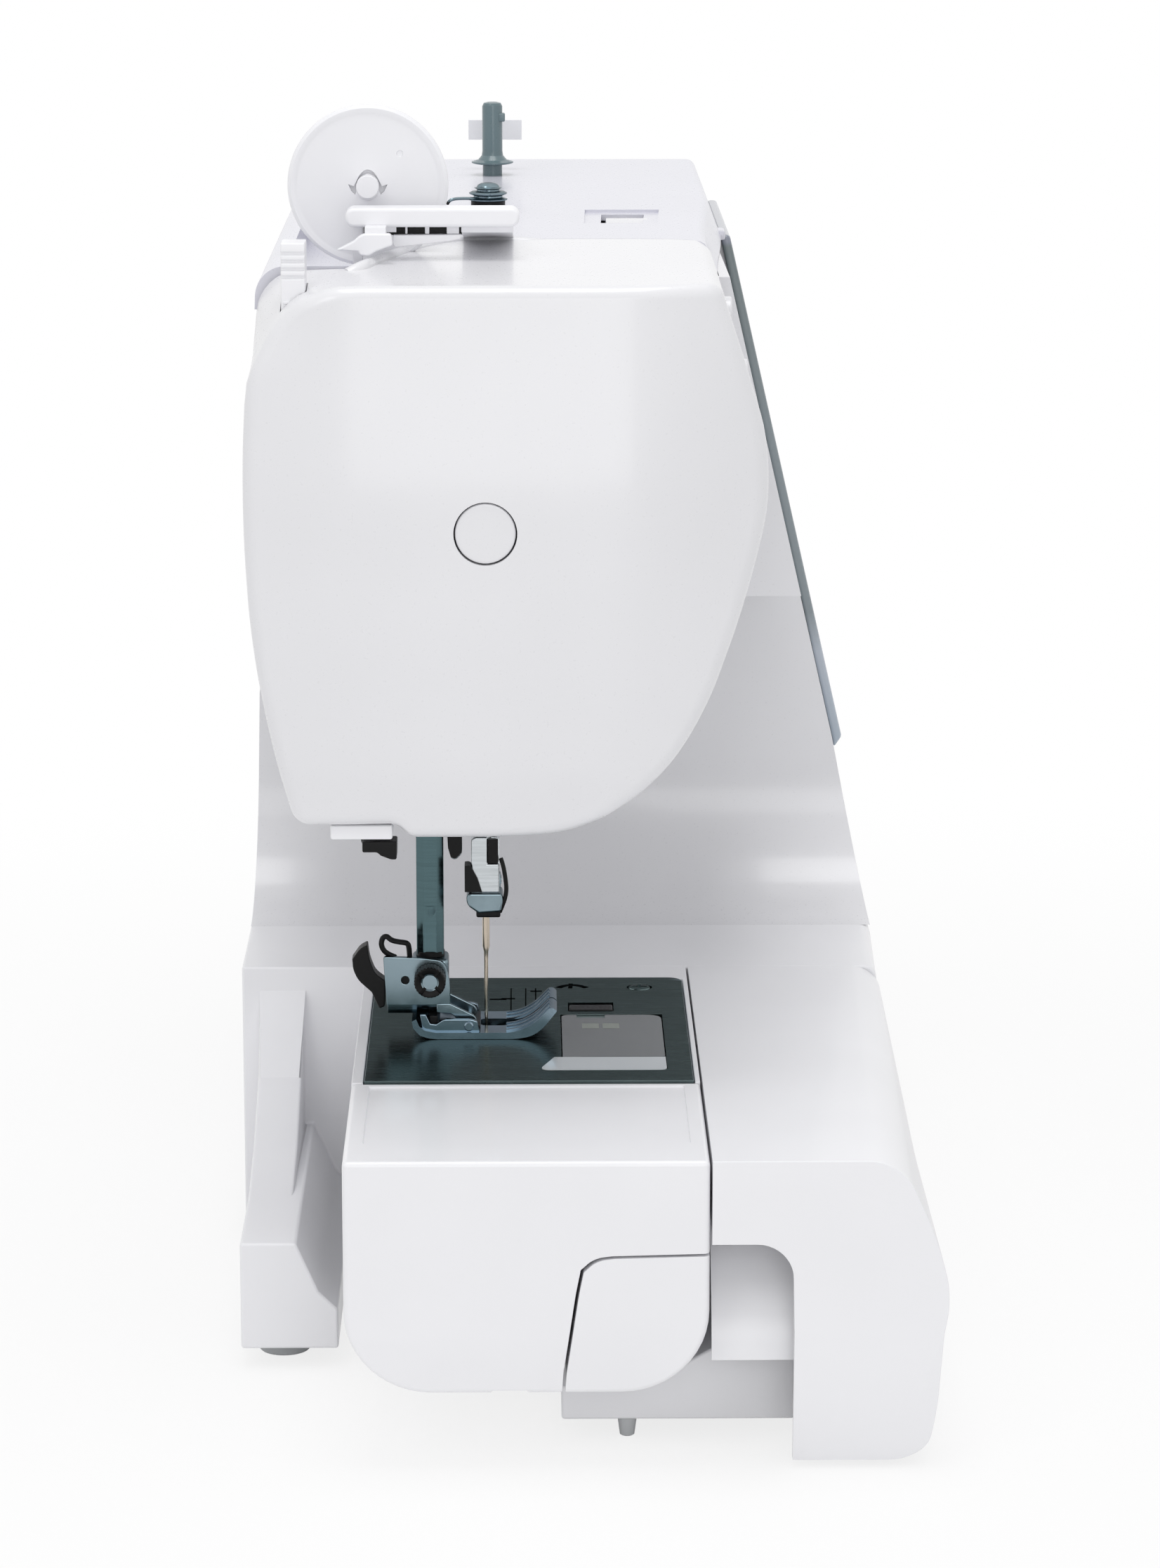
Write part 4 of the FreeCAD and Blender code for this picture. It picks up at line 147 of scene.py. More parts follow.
def side_view(across, *pairs):
    """Corners of an outline seen from the user's side."""
    return [spot(along, across, up) for along, up in pairs]


def edit(obj):
    """Enters edit mode with every corner of obj selected."""
    only(obj)
    bpy.ops.object.mode_set(mode="EDIT")
    bpy.ops.mesh.select_mode(type="VERT")
    bpy.ops.mesh.select_all(action="SELECT")


def done():
    """Leaves edit mode."""
    bpy.ops.object.mode_set(mode="OBJECT")


def pick(obj, kind, test):
    """In edit mode, selects the vertices, edges or faces that pass the test."""
    bpy.ops.mesh.select_mode(type=kind)
    bpy.ops.mesh.select_all(action="DESELECT")
    mesh = bmesh.from_edit_mesh(obj.data)
    parts = {"VERT": mesh.verts, "EDGE": mesh.edges, "FACE": mesh.faces}[kind]
    found = 0
    for part in parts:
        if test(part):
            part.select_set(True)
            found += 1
    bmesh.update_edit_mesh(obj.data)
    return found


def apply(obj, kind, **settings):
    """Adds a modifier with these settings and applies it."""
    only(obj)
    modifier = obj.modifiers.new(kind.lower(), kind)
    for key, value in settings.items():
        setattr(modifier, key, value)
    bpy.ops.object.modifier_apply(modifier=modifier.name)
    return obj


def smooth(obj, degrees=32):
    """Smooth shading over shallow edges, with large flat faces kept flat."""
    only(obj)
    bpy.ops.object.shade_smooth_by_angle(angle=math.radians(degrees))
    return apply(obj, "WEIGHTED_NORMAL", keep_sharp=True)


def soften(obj, width, segments=2, degrees=40):
    """Rounds the sharp edges of a finished shape by so many millimetres."""
    return apply(obj, "BEVEL", width=width * MM, segments=segments, limit_method="ANGLE",
                 angle_limit=math.radians(degrees), use_clamp_overlap=True, harden_normals=False)


def clean(obj):
    """Merges doubled corners and turns the faces outwards."""
    edit(obj)
    bpy.ops.mesh.remove_doubles(threshold=0.004 * MM)
    bpy.ops.mesh.normals_make_consistent(inside=False)
    done()
    return obj


def cut(obj, *cutters):
    """Cuts the other shapes out of obj and removes them."""
    for cutter in cutters:
        apply(obj, "BOOLEAN", operation="DIFFERENCE", solver="EXACT", object=cutter)
        bpy.data.objects.remove(cutter)
    return obj


def join(name, *parts):
    """Joins separate shapes into one piece."""
    only(parts[0])
    for part in parts[1:]:
        part.select_set(True)
    bpy.ops.object.join()
    parts[0].name = name
    parts[0].data.name = name
    return parts[0]


def copied(node, name, grain=0.6):
    """A merged copy of a CAD piece, with its flat faces made whole."""
    only(frame["nodes"][node])
    bpy.ops.object.duplicate()
    obj = bpy.context.object
    bpy.ops.object.parent_clear(type="CLEAR_KEEP_TRANSFORM")
    for key in list(obj.keys()):
        del obj[key]
    obj.name = name
    obj.data.name = name
    bpy.ops.mesh.customdata_custom_splitnormals_clear()
    edit(obj)
    bpy.ops.mesh.remove_doubles(threshold=TINY)
    bpy.ops.mesh.dissolve_limited(angle_limit=math.radians(grain))
    done()
    obj.data.materials.clear()
    return obj


def stand_for(obj, node, finish=None):
    """Puts a finished piece in place of its CAD piece, on the same body and with the same finish or another."""
    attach(obj, BODY_OF[node])
    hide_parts(node)
    dress(obj, finish or SLOT_OF[node])
    return obj


def dress(obj, finish):
    """Gives the whole piece one finish."""
    obj.data.materials.clear()
    obj.data.materials.append(material(finish))


def dress_part(obj, finish, test):
    """Gives the faces whose middle passes the test a second finish."""
    obj.data.materials.append(material(finish))
    for face in obj.data.polygons:
        if test(face.center):
            face.material_index = len(obj.data.materials) - 1


def extra(obj, body, slot, finish=None):
    """Puts a piece that has no CAD node on its body and gives it the finish, or the slot's finish if none is given.
    """
    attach(obj, body)
    dress(obj, finish or slot)
    return obj


def finished(node, name, width, segments=2, finish=None):
    """A CAD piece that keeps its shape, with softened edges."""
    return stand_for(smooth(soften(copied(node, name), width, segments)), node, finish=finish)


def path(name, points):
    """Edges drawn from one corner to the next, left in edit mode."""
    bpy.ops.object.select_all(action="DESELECT")
    bpy.ops.mesh.primitive_plane_add(size=MM, location=points[0])
    obj = named(name)
    edit(obj)
    bpy.ops.mesh.merge(type="CENTER")
    for start, end in zip(points, points[1:]):
        bpy.ops.mesh.extrude_vertices_move(TRANSFORM_OT_translate={"value": tuple(end - start)})
    return obj


def slab(name, points, push, rounds=(), steps=6):
    """A flat outline, filled, its corners rounded, and pushed out by so many millimetres.

    rounds lists (corner number, millimetres along its edges that the round takes)."""
    obj = path(name, points)
    bpy.ops.mesh.select_all(action="SELECT")
    bpy.ops.mesh.edge_face_add()
    for corner, size in rounds:
        place = points[corner]
        pick(obj, "VERT", lambda vert: (vert.co - place).length < TINY / 10)
        bpy.ops.mesh.bevel(offset=size * MM, segments=steps, affect="VERTICES")
    bpy.ops.mesh.select_all(action="SELECT")
    bpy.ops.mesh.extrude_region_move(TRANSFORM_OT_translate={"value": tuple(Vector(push) * MM)})
    bpy.ops.mesh.select_all(action="SELECT")
    bpy.ops.mesh.normals_make_consistent(inside=False)
    done()
    return obj


def block(name, low, high, width=0.4, segments=2):
    """A box between two places, with softened edges."""
    size = high - low
    corners = [low, low + Vector((size.x, 0, 0)), low + Vector((size.x, size.y, 0)), low + Vector((0, size.y, 0))]
    obj = slab(name, corners, (0, 0, size.z / MM))
    return soften(obj, width, segments) if width else obj


TURNS = {"X": (0, math.pi / 2, 0), "Z": (0, 0, 0)}
AXES = {"X": Vector((1, 0, 0)), "Y": Vector((0, 1, 0)), "Z": Vector((0, 0, 1))}


def turned(name, centre, axis, steps, corners=64):
    """A turned piece: a disc, extruded and scaled from one (radius, height) step to the next."""
    bpy.ops.object.select_all(action="DESELECT")
    way = AXES[axis] * MM
    bpy.ops.mesh.primitive_circle_add(vertices=corners, radius=steps[0][0] * MM, fill_type="NGON",
                                      location=centre + way * steps[0][1], rotation=TURNS[axis])
    obj = named(name)
    edit(obj)
    for (wide, low), (next_wide, high) in zip(steps, steps[1:]):
        bpy.ops.mesh.extrude_region_move(TRANSFORM_OT_translate={"value": tuple(way * (high - low))})
        share = next_wide / wide
        bpy.ops.transform.resize(value=(share, share, share), center_override=tuple(centre + way * high))
    bpy.ops.mesh.select_all(action="SELECT")
    bpy.ops.mesh.normals_make_consistent(inside=False)
    done()
    return obj


def wire(name, points, radius, curved=True):
    """A bent wire along the corners given, with round ends."""
    obj = path(name, points)
    done()
    bpy.ops.object.convert(target="CURVE")
    obj = bpy.context.object
    spline = obj.data.splines[0]
    if curved:
        spline.type = "NURBS"
        spline.order_u = 3
        spline.use_endpoint_u = True
        spline.resolution_u = 5
    obj.data.bevel_depth = radius * MM
    obj.data.bevel_resolution = 3
    obj.data.use_fill_caps = True
    bpy.ops.object.convert(target="MESH")
    return smooth(clean(bpy.context.object), 50)


def grid(obj, axis, places):
    """Cuts new edges straight across a shape, so that it can be bent."""
    edit(obj)
    for place in places:
        bpy.ops.mesh.select_all(action="SELECT")
        bpy.ops.mesh.bisect(plane_co=tuple(place), plane_no=tuple(AXES[axis]))
    done()
    return obj


def move(obj, shift):
    """Moves each corner of a mesh by what shift gives for its place."""
    for vert in obj.data.vertices:
        vert.co += shift(vert.co)
    obj.data.update()
    return obj


def round_edges(obj, test, width, segments=6):
    """Rounds the edges that pass the test."""
    edit(obj)
    if pick(obj, "EDGE", test):
        bpy.ops.mesh.bevel(offset=width * MM, segments=segments, affect="EDGES", clamp_overlap=True)
    done()
    return obj


def duplicate(obj, name):
    """A second copy of a shape, under its own name."""
    only(obj)
    bpy.ops.object.duplicate()
    twin = bpy.context.object
    twin.name = name
    twin.data.name = name
    return twin


def keep_common(obj, other):
    """Leaves only what obj shares with the other shape, which stays."""
    return apply(obj, "BOOLEAN", operation="INTERSECT", solver="EXACT", object=other)


# Finishes


def rgb(red, green, blue):
    """A colour given in 0 to 255 screen values, as the linear values that nodes take."""
    shares = (value / 255 for value in (red, green, blue))
    return (*(v / 12.92 if v <= 0.04045 else ((v + 0.055) / 1.055) ** 2.4 for v in shares), 1.0)


def plain(name, colour, rough, **sockets):
    """A new material with its node tree and shader."""
    mat = bpy.data.materials.new(name)
    mat.use_nodes = True
    shader = mat.node_tree.nodes["Principled BSDF"]
    shader.inputs["Base Color"].default_value = colour
    shader.inputs["Roughness"].default_value = rough
    for key, value in sockets.items():
        shader.inputs[key.replace("_", " ")].default_value = value
    return mat, mat.node_tree, shader


def add_node(tree, kind, *numbered, **inputs):
    """A new shader node, whose inputs, by number or by name, take a value or another node's output."""
    made = tree.nodes.new("ShaderNode" + kind)
    given = [(made.inputs[number], value) for number, value in enumerate(numbered)]
    given += [(made.inputs[key.replace("_", " ")], value) for key, value in inputs.items()]
    for socket, value in given:
        if isinstance(value, bpy.types.NodeSocket):
            tree.links.new(value, socket)
        else:
            socket.default_value = value
    return made


def noise(tree, scale, detail=2.0, stretch=(1, 1, 1)):
    """Noise on Object coordinates, stretched along an axis for brushed metal."""
    mapping = add_node(tree, "Mapping", Vector=add_node(tree, "TexCoord").outputs["Object"], Scale=stretch)
    return add_node(tree, "TexNoise", Vector=mapping.outputs["Vector"], Scale=scale, Detail=detail).outputs["Fac"]


def paint(tree, shader, source, stops):
    """Colours the shader by a 0 to 1 value, between stops of place and colour."""
    ramp = add_node(tree, "ValToRGB", Fac=source)
    first, last = ramp.color_ramp.elements
    first.position, first.color = stops[0]
    last.position, last.color = stops[-1]
    for position, colour in stops[1:-1]:
        ramp.color_ramp.elements.new(position).color = colour
    tree.links.new(ramp.outputs["Color"], shader.inputs["Base Color"])


def roughen(tree, shader, source, low, high):
    """Varies the shader's roughness from low to high by a pattern."""
    level = add_node(tree, "MapRange", Value=source, From_Min=0.3, From_Max=0.7, To_Min=low, To_Max=high)
    tree.links.new(level.outputs["Result"], shader.inputs["Roughness"])


def bump(tree, shader, source, height, strength):
    """Raises the surface by so many metres where the pattern is light."""
    relief = add_node(tree, "Bump", Distance=height, Strength=strength, Height=source)
    tree.links.new(relief.outputs["Normal"], shader.inputs["Normal"])


def shade(colour, share):
    """The colour at a share of its brightness."""
    return tuple(c * share for c in colour[:3]) + (1.0,)


def moulded(name, colour, rough, coat, grain=0.012, glance=0.5):
    """Moulded plastic: a faint unevenness of tone and gloss, and a fine skin."""
    mat, tree, shader = plain(name, colour, rough, Coat_Weight=coat, Coat_Roughness=0.12,
                              Specular_IOR_Level=glance)
    paint(tree, shader, noise(tree, 22.0), ((0.3, shade(colour, 0.985)), (0.7, shade(colour, 1.012))))
    fine = noise(tree, 1400.0)
    roughen(tree, shader, fine, rough * 0.9, rough * 1.12)
    bump(tree, shader, fine, grain * MM, 0.6)
    return mat


def metal(name, colour, rough, stretch, scale, depth, glance):
    """Metal with fine marks along its working direction; glance tones down its flat-angle shine."""
    mat, tree, shader = plain(name, colour, rough, Metallic=1.0, Specular_Tint=(glance, glance, glance, 1))
    marks = noise(tree, scale, 4.0, stretch)
    paint(tree, shader, marks, ((0.25, shade(colour, 0.86)), (0.75, shade(colour, 1.08))))
    roughen(tree, shader, marks, rough * 0.75, rough * 1.3)
    bump(tree, shader, marks, depth * MM, 0.5)
    return mat


def tinted_clear(name, colour, rough, weight):
    """Clear plastic with a tint."""
    mat, tree, shader = plain(name, colour, rough, IOR=1.49, Transmission_Weight=weight)
    wisp = noise(tree, 30.0)
    paint(tree, shader, wisp, ((0.3, shade(colour, 0.95)), (0.7, colour)))
    roughen(tree, shader, wisp, rough * 0.8, rough * 1.2)
    return mat


# The control panel's colour at shares of its height; the paler, bluer tones near its foot are a painted reflection.
PANEL_TONES = ((0.0, (166, 178, 190)), (0.19, (176, 184, 195)), (0.27, (131, 141, 146)), (0.6, (128, 138, 143)),
               (0.978, (108, 119, 121)), (0.988, (136, 141, 154)))


def fading_panel(name, low, high):
    """The control panel: silver along its top edge, dark below it, and paler again near its foot with a painted
    reflection.
    """
    mat, tree, shader = plain(name, rgb(128, 138, 143), 0.22, Coat_Weight=0.5)
    place = add_node(tree, "SeparateXYZ", Vector=add_node(tree, "TexCoord").outputs["Object"])
    height = add_node(tree, "MapRange", Value=place.outputs["Z"], From_Min=low, From_Max=high)
    paint(tree, shader, height.outputs["Result"], [(share, rgb(*colour)) for share, colour in PANEL_TONES])
    bump(tree, shader, noise(tree, 1200.0), 0.01 * MM, 0.5)
    return mat


# Moulded finishes: colour, roughness, coat, the depth of the grain in millimetres, and glance.
MOULDED = {
    "display_glass": ((26, 32, 34), 0.08, 1.0, 0.002),
    "black_plastic": ((12, 12, 13), 0.45, 0.0, 0.02, 0.2),
    "grey_plastic": ((112, 122, 126), 0.36, 0.2),
    "slate_plastic": ((96, 116, 121), 0.3, 0.3),
    "belt_rubber": ((30, 30, 31), 0.75, 0.0, 0.05),
    "foot_rubber": ((192, 194, 196), 0.8, 0.0, 0.05),
    "board_green": ((34, 92, 60), 0.4, 0.2),
    "plate_mark": ((14, 16, 16), 0.9, 0.0, 0.012, 0.0),
    "field_grey": ((140, 146, 138), 0.4, 0.1),
}
# Metals: colour, roughness, stretch and scale of the marks, their depth in millimetres, and glance.
METALS = {
    "polished_steel": ((118, 140, 146), 0.18, (1, 1, 30), 60.0, 0.002, 0.5),
    "bar_steel": ((82, 104, 108), 0.2, (1, 1, 30), 60.0, 0.002, 0.5),
    "bright_steel": ((196, 201, 204), 0.22, (1, 1, 20), 80.0, 0.002, 1.0),
    "plated_steel": ((132, 149, 156), 0.2, (1, 1, 1), 160.0, 0.001, 0.6),
    "foot_steel": ((142, 160, 172), 0.18, (1, 1, 1), 160.0, 0.001, 0.6),
    "needle_steel": ((196, 184, 168), 0.2, (1, 1, 1), 160.0, 0.001, 1.0),
    "cast_aluminium": ((176, 178, 176), 0.55, (1, 1, 1), 1500.0, 0.05, 1.0),
}
# Clear finishes: colour, roughness and how much light they let through.
CLEAR = {"clear_plastic": ((120, 126, 128), 0.1, 0.5), "clear_lip": ((226, 232, 236), 0.12, 0.3)}
# Painted shade on the lid: its colour as shares of the covers' colour, darker and bluer.
LID_SHADE = (0.86, 0.86, 0.92, 1.0)


def material(name):
    """The finish of that name, made the first time it is asked for."""
    label = name + "_finish"
    if label in bpy.data.materials:
        return bpy.data.materials[label]
    for maker, finishes in ((moulded, MOULDED), (metal, METALS), (tinted_clear, CLEAR)):
        if name in finishes:
            colour, *values = finishes[name]
            return maker(label, rgb(*colour), *values)
    if name == "fascia_dark":
        return fading_panel(label, *sides("fascia_panel")[4:])
    colours = bpy.context.scene.machine_finishes
    cover, table, plate = ((*colour, 1.0) for colour in (colours.cover, colours.table, colours.plate))
    if name == "needle_plate_steel":
        return metal(label, plate, 0.24, (60, 1, 1), 40.0, 0.001, 0.42)
    whites = {
        "cover_white": (cover, 0.3, 0.35),
        # The lid's white: the covers' white with painted shade.
        "lid_white": (tuple(value * share for value, share in zip(cover, LID_SHADE)), 0.3, 0.35),
        "table_white": (table, 0.36, 0.25),
        # Small white parts take the covers' white made brighter: painted light.
        "white_plastic": (shade(cover, 1.12), 0.34, 0.2),
    }
    return moulded(label, *whites[name])


# Pieces


# The head seen from the arm's end, and the corners of that outline that are rounded, each with its round.
HEAD_SHAPE = ((-49.5, LID_TOP), (-64.6, 246.5), (-57.4, 214.5), (-46, 184), (-34.5, 167.4), (-15, 153.8),
              (4, 152.2), (29.6, 152.2), (33.4, 156), (59.4, 155.4), (65.2, 176.5), (70.2, 203), (72.3, 240),
              (69.5, LID_TOP))
HEAD_ROUNDS = ((0, 3.2), (1, 15), (2, 14), (3, 9), (4, 9), (5, 9), (6, 9), (7, 2), (8, 2), (9, 4), (10, 10),
               (11, 12), (12, 17), (13, 10))
# The head's lip seen from above, and the seam that goes on from it down the head's front side.
LIP = ((91, 43.2), (98, 41.4), (107, 39), (116, 36), (126, 33), (136, 29.6), (145, 25.6), (151, 21.6),
       (154.6, 17), (156, 10))
SEAM = ((156, -30), (155, -40), (152, -46), (146, -49.5), (136, -60))
# The thickness of the head's shell, and the middle of the round cap in its face: across and up.
WALL = 2.5
FACE_CAP = (10.1, 232.4)


def swell(value):
    """A smooth step from 0 to 1."""
    value = min(1.0, max(0.0, value))
    return value * value * (3 - 2 * value)


def eased(value, blend):
    """0 below the blend, the value above it, and a smooth bend between."""
    if value < -blend:
        return 0.0
    return value if value > blend else (value + blend) ** 2 / (4 * blend)


def bow(across, up):
    """How far back the head's face lies: its top leans, its chin tucks in and its sides fall away."""
    lean = eased(up - 243, 9) * 0.0875
    tuck = eased(169 - up, 4) * 0.22
    front_side = max(0.0, -18 - across) ** 2 * 0.0074
    rear_side = max(0.0, across - 42) ** 2 * 0.005
    return lean + tuck + front_side + rear_side


def seam_edge(edge):
    """True for the sharp top edges of the head along its seam with the lid."""
    near = all(vert.co.z > (LID_TOP - 0.2) * MM and vert.co.x > spot(90, 0, 0).x for vert in edge.verts)
    return near and edge.calc_face_angle(0) > 0.6


def head_bend(place):
    """Bows the head's face, droops its top edge and rear corner, and draws its sides in towards the arm."""
    local = (place - DATUM) / MM
    back = local.x - HEAD_FRONT
    fade = max(0.0, 1 - back / 60)
    droop = swell((local.z - 276) / 16) * (1 - swell(back / 84))
    closing = swell((local.x - 84) / 44) * swell((285 - local.z) / 20)
    inward = 3.0 * closing * swell((-8 - local.y) / 34)
    lift = 2.6 * closing * swell((172 - local.z) / 16)
    corner = swell((local.y - 44) / 26) * swell((local.z - 266) / 28) * max(0.0, 1 - back / 44)
    return Vector((bow(local.y, local.z) * fade, inward - 6.5 * corner, lift - droop - 5 * corner)) * MM


def head_face():
    """The bowed end of the head, a shell that is open towards the arm."""
    left, right = sides("face_cover")[:2]
    depth = LIP[-1][0] - HEAD_FRONT
    face = slab("head_face", end_view(HEAD_FRONT, *HEAD_SHAPE), (depth, 0, 0), HEAD_ROUNDS, 8)
    round_edges(face, lambda edge: all(abs(vert.co.x - left) < TINY for vert in edge.verts), 3.4)
    heights = (*range(160, 173, 4), *range(178, 227, 8), *range(232, 253, 4), *range(258, 289, 6))
    grid(face, "Z", [spot(0, 0, height) for height in heights])
    grid(face, "Y", [spot(0, across, 0) for across in range(-58, 70, 5)])
    grid(face, "X", [spot(along, 0, 0) for along in (56, 64, 74, 88, 104, 120, 136)])
    move(face, head_bend)
    edit(face)
    pick(face, "FACE", lambda part: part.normal.x > 0.99)
    bpy.ops.mesh.delete(type="FACE")
    done()
    apply(face, "SOLIDIFY", thickness=WALL * MM, offset=-1.0, use_even_offset=True)
    under = slab("under", top_view(150, (106, 3), (133, 3), (133, 33), (106, 33)), (0, 0, 10), ((0, 3), (3, 3)))
    tab = slab("tab", top_view(150, (56.5, 33), (76, 33), (76, 52), (56.5, 52)), (0, 0, 8))
    hole = turned("hole", spot(44, *FACE_CAP), "X", ((8.1, 0), (8.1, 12)))
    blade = slab("blade", top_view(279, (63.7, 55.2), (74.3, 55.2), (74.3, 62), (63.7, 62)), (0, 0, 20))
    corner = slab("corner", top_view(284, (91, 80), *LIP, *SEAM, (170, -60), (170, 80)), (0, 0, 20))
    arm_space = block("arm_space", Vector((right, -0.12, 0.1)), Vector((right + 40 * MM, 0.12, 0.2841)), 0)
    cut(face, under, tab, hole, blade, corner, arm_space)
    round_edges(clean(face), seam_edge, 0.9, 4)
    stand_for(smooth(face, 30), "face_cover")
    bead = [spot(88.5, 45.5, 293.6), *(spot(x - 0.9, y - 0.6, 295) for x, y in LIP),
            spot(155.4, 2, 294.4), spot(155.4, -6, 293.6)]
    extra(wire("head_lip", bead, 1.9), "machine", "cover_white")
    cap = turned("head_cap", spot(HEAD_FRONT, *FACE_CAP), "X",
                 ((7.0, 0.45), (7.55, 0.62), (7.75, 1.0), (7.75, 2.6), (6, 2.6)))
    stand_for(smooth(cap), "face_cap")


def narrow(place):
    """Draws the lid's front edge in towards the head, which is slimmer than the column."""
    local = (place - DATUM) / MM
    return Vector((0, -min(0.0, local.y) * 0.085 * swell((276 - local.x) / 120) * MM, 0))


def lid():
    """The lid over the arm and column, cut back along the head's curved lip."""
    skin = copied("top_cover", "lid")
    clear = slab("clear", top_view(283, (80, -80), (80, 43.6), *((x + 0.35, y + 0.35) for x, y in LIP + SEAM),
                                   (136, -80)), (0, 0, 20))
    grid(skin, "X", [spot(along, 0, 0) for along in range(136, 276, 12)])
    cut(move(skin, narrow), clear)
    tip = block("tip", spot(267, -59.2, 282.8), spot(276.4, -54, 285.6), 0.7)
    # The lid takes the covers' white darkened and made bluer, as painted shade.
    stand_for(smooth(join("lid", soften(clean(skin), 0.7, 3), tip)), "top_cover", finish="lid_white")


# Heights of the crease in the end faces and of the foot of the front slope, and how far out the slope is led.
CREASE = 35.6
SLOPE_FOOT = 60.5
SLOPE_FLARE = 9.4
# The free arm's section, and the line that parts the corner panel from its cap, both from the arm's end.
ARM_SHAPE = ((-45.9, BED_TOP), (-45.9, 20.5), (46.3, 20.5), (46.3, BED_TOP))
PANEL_EDGE = ((-9.4, 19), (-9.9, 26), (-13, 47), (-14.2, 53), (-17.5, 56), (-22, 56.6), (-47, 57.2))


def flare(place):
    """Leads the front slope of the table and bed out to the column's wider foot."""
    local = (place - DATUM) / MM
    if local.y > -80 or local.z < SLOPE_FOOT:
        return Vector((0, 0, 0))
    rise = SLOPE_FLARE * (local.z - SLOPE_FOOT) / (BED_TOP - SLOPE_FOOT)
    return Vector((0, -rise * min(1.0, local.x / COLUMN_START) * MM, 0))


def tuck_under(place):
    """Leans the end faces back a little below the crease."""
    local = (place - DATUM) / MM
    return Vector((max(0.0, CREASE - local.z) * 0.09 * (1 - swell(local.x / 30)) * MM, 0, 0))


def arm_end():
    """The end of the free arm: its cap and the corner panel, parted along a curved line."""
    left, right = sides("arm_end_cap")[:2]
    cap = slab("arm_end", end_view(0, *ARM_SHAPE), ((right - left) / MM, 0, 0), ((1, 22), (2, 22)), 12)
    soften(cap, 1.4, 4, 50)
    grid(cap, "Z", [spot(0, 0, CREASE)])
    move(cap, tuck_under)
    panel = duplicate(cap, "arm_corner")
    edge = slab("edge", end_view(-1, *PANEL_EDGE, (-47, 19)), (40.6, 0, 0), ((2, 2), (4, 2)))
    keep_common(panel, edge)
    bpy.data.objects.remove(edge)
    gap = slab("gap", end_view(-1, *((y + 0.7, z + 0.6) for y, z in PANEL_EDGE), (-47, 19)), (41.1, 0, 0),
               ((2, 2), (4, 2)))
    pocket = slab("pocket", top_view(81.4, (14.5, -41.5), (67.8, -41.5), (67.8, 41.5), (14.5, 41.5)), (0, 0, 3),
                  ((0, 3), (3, 3)))
    ledge = slab("ledge", end_view(-1, (0, 19), (0, 21.3), (9, 21.3), (9, 19)), (30, 0, 0))
    cut(cap, gap, pocket, ledge)
    stand_for(smooth(soften(clean(cap), 0.3, 2, 60)), "arm_end_cap", finish="table_white")
    stand_for(smooth(soften(clean(panel), 0.3, 2, 60)), "arm_corner_panel", finish="table_white")


# The table seen from the arm's end, its rounded corners, each with its round, and the hollow inside it.
TABLE_SHAPE = ((-46.5, BED_TOP), (-94, BED_TOP), (-103.5, SLOPE_FOOT), (-107, 46), (-105.2, 36), (-103.8, 14),
               (-101, 1.8), (-67.4, 1.8), (-46.5, 1.8))
TABLE_ROUNDS = ((1, 8), (2, 7), (3, 5.5), (5, 6), (6, 9))
TABLE_HOLLOW = ((-44, 62), (-67.4, 62), (-90, 79.2), (-91.8, 79.2), (-100.6, 60), (-104, 46), (-102.2, 36),
                (-100.8, 14), (-98.5, -1), (-44, -1))


def table():
    """The extension table, a hollow shell with an arch for the fingers in its end wall."""
    left, right = sides("extension_table")[:2]
    length = (right - left) / MM
    shape = slab("extension_table_top", end_view(0, *TABLE_SHAPE), (length, 0, 0), TABLE_ROUNDS, 8)
    round_edges(shape, lambda edge: all(abs(vert.co.x - left) < TINY and vert.co.z > 2 * MM
                                        for vert in edge.verts), 2.6, 5)
    hollow = slab("hollow", end_view(3, *TABLE_HOLLOW), (length, 0, 0), ((3, 4), (4, 5), (5, 4)))
    arch = slab("arch", end_view(-2, (-40, -1), (-40, 60.2), (-66.9, 60.2), (-67.4, 36.5), (-67.4, -1)), (12, 0, 0),
                ((2, 9),), 10)
    cut(shape, hollow, arch)
    back = slab("arch_back", end_view(7, (-46.8, 61), (-68.5, 61), (-68.5, 27), (-46.8, 27)), (1.6, 0, 0),
                ((1, 5),))
    grid(back, "Z", [spot(0, 0, height) for height in range(30, 60, 4)])
    move(back, lambda place: Vector((max(0.0, place.z / MM - 27) ** 1.6 * 0.075 * MM, 0, 0)))
    whole = move(join("extension_table_top", shape, back), flare)
    grid(whole, "Z", [spot(0, 0, CREASE)])
    move(whole, tuck_under)
    stand_for(smooth(soften(clean(whole), 0.5, 2, 50)), "extension_table")


# How far the edges of the plainer covers are rounded, which of them have the table's finish, and the bed's bends.
PLAIN_COVERS = {"column_cover": 1.4, "arm_cover": 1.2, "bed_cover": 0.8, "free_arm_cover": 0.8}
TABLE_TONED = ("bed_cover", "free_arm_cover")
BED_BENDS = ((-93, BED_TOP), (-103.5, SLOPE_FOOT), (-107, 46), (-103.8, 14))


def bed_bend(edge):
    """True for the long outer bends along the bed's front."""
    start, end = ((vert.co - DATUM) / MM for vert in edge.verts)
    if abs(start.x - end.x) < 100:
        return False
    return any(math.hypot(start.y - y, start.z - z) < 0.6 for y, z in BED_BENDS)


def slim(place):
    """Draws the arm's front in a little, behind the control panel's edge."""
    local = (place - DATUM) / MM
    return Vector((0, 2.2 * swell((-40 - local.y) / 14) * swell((local.x - 150) / 24) * MM, 0))


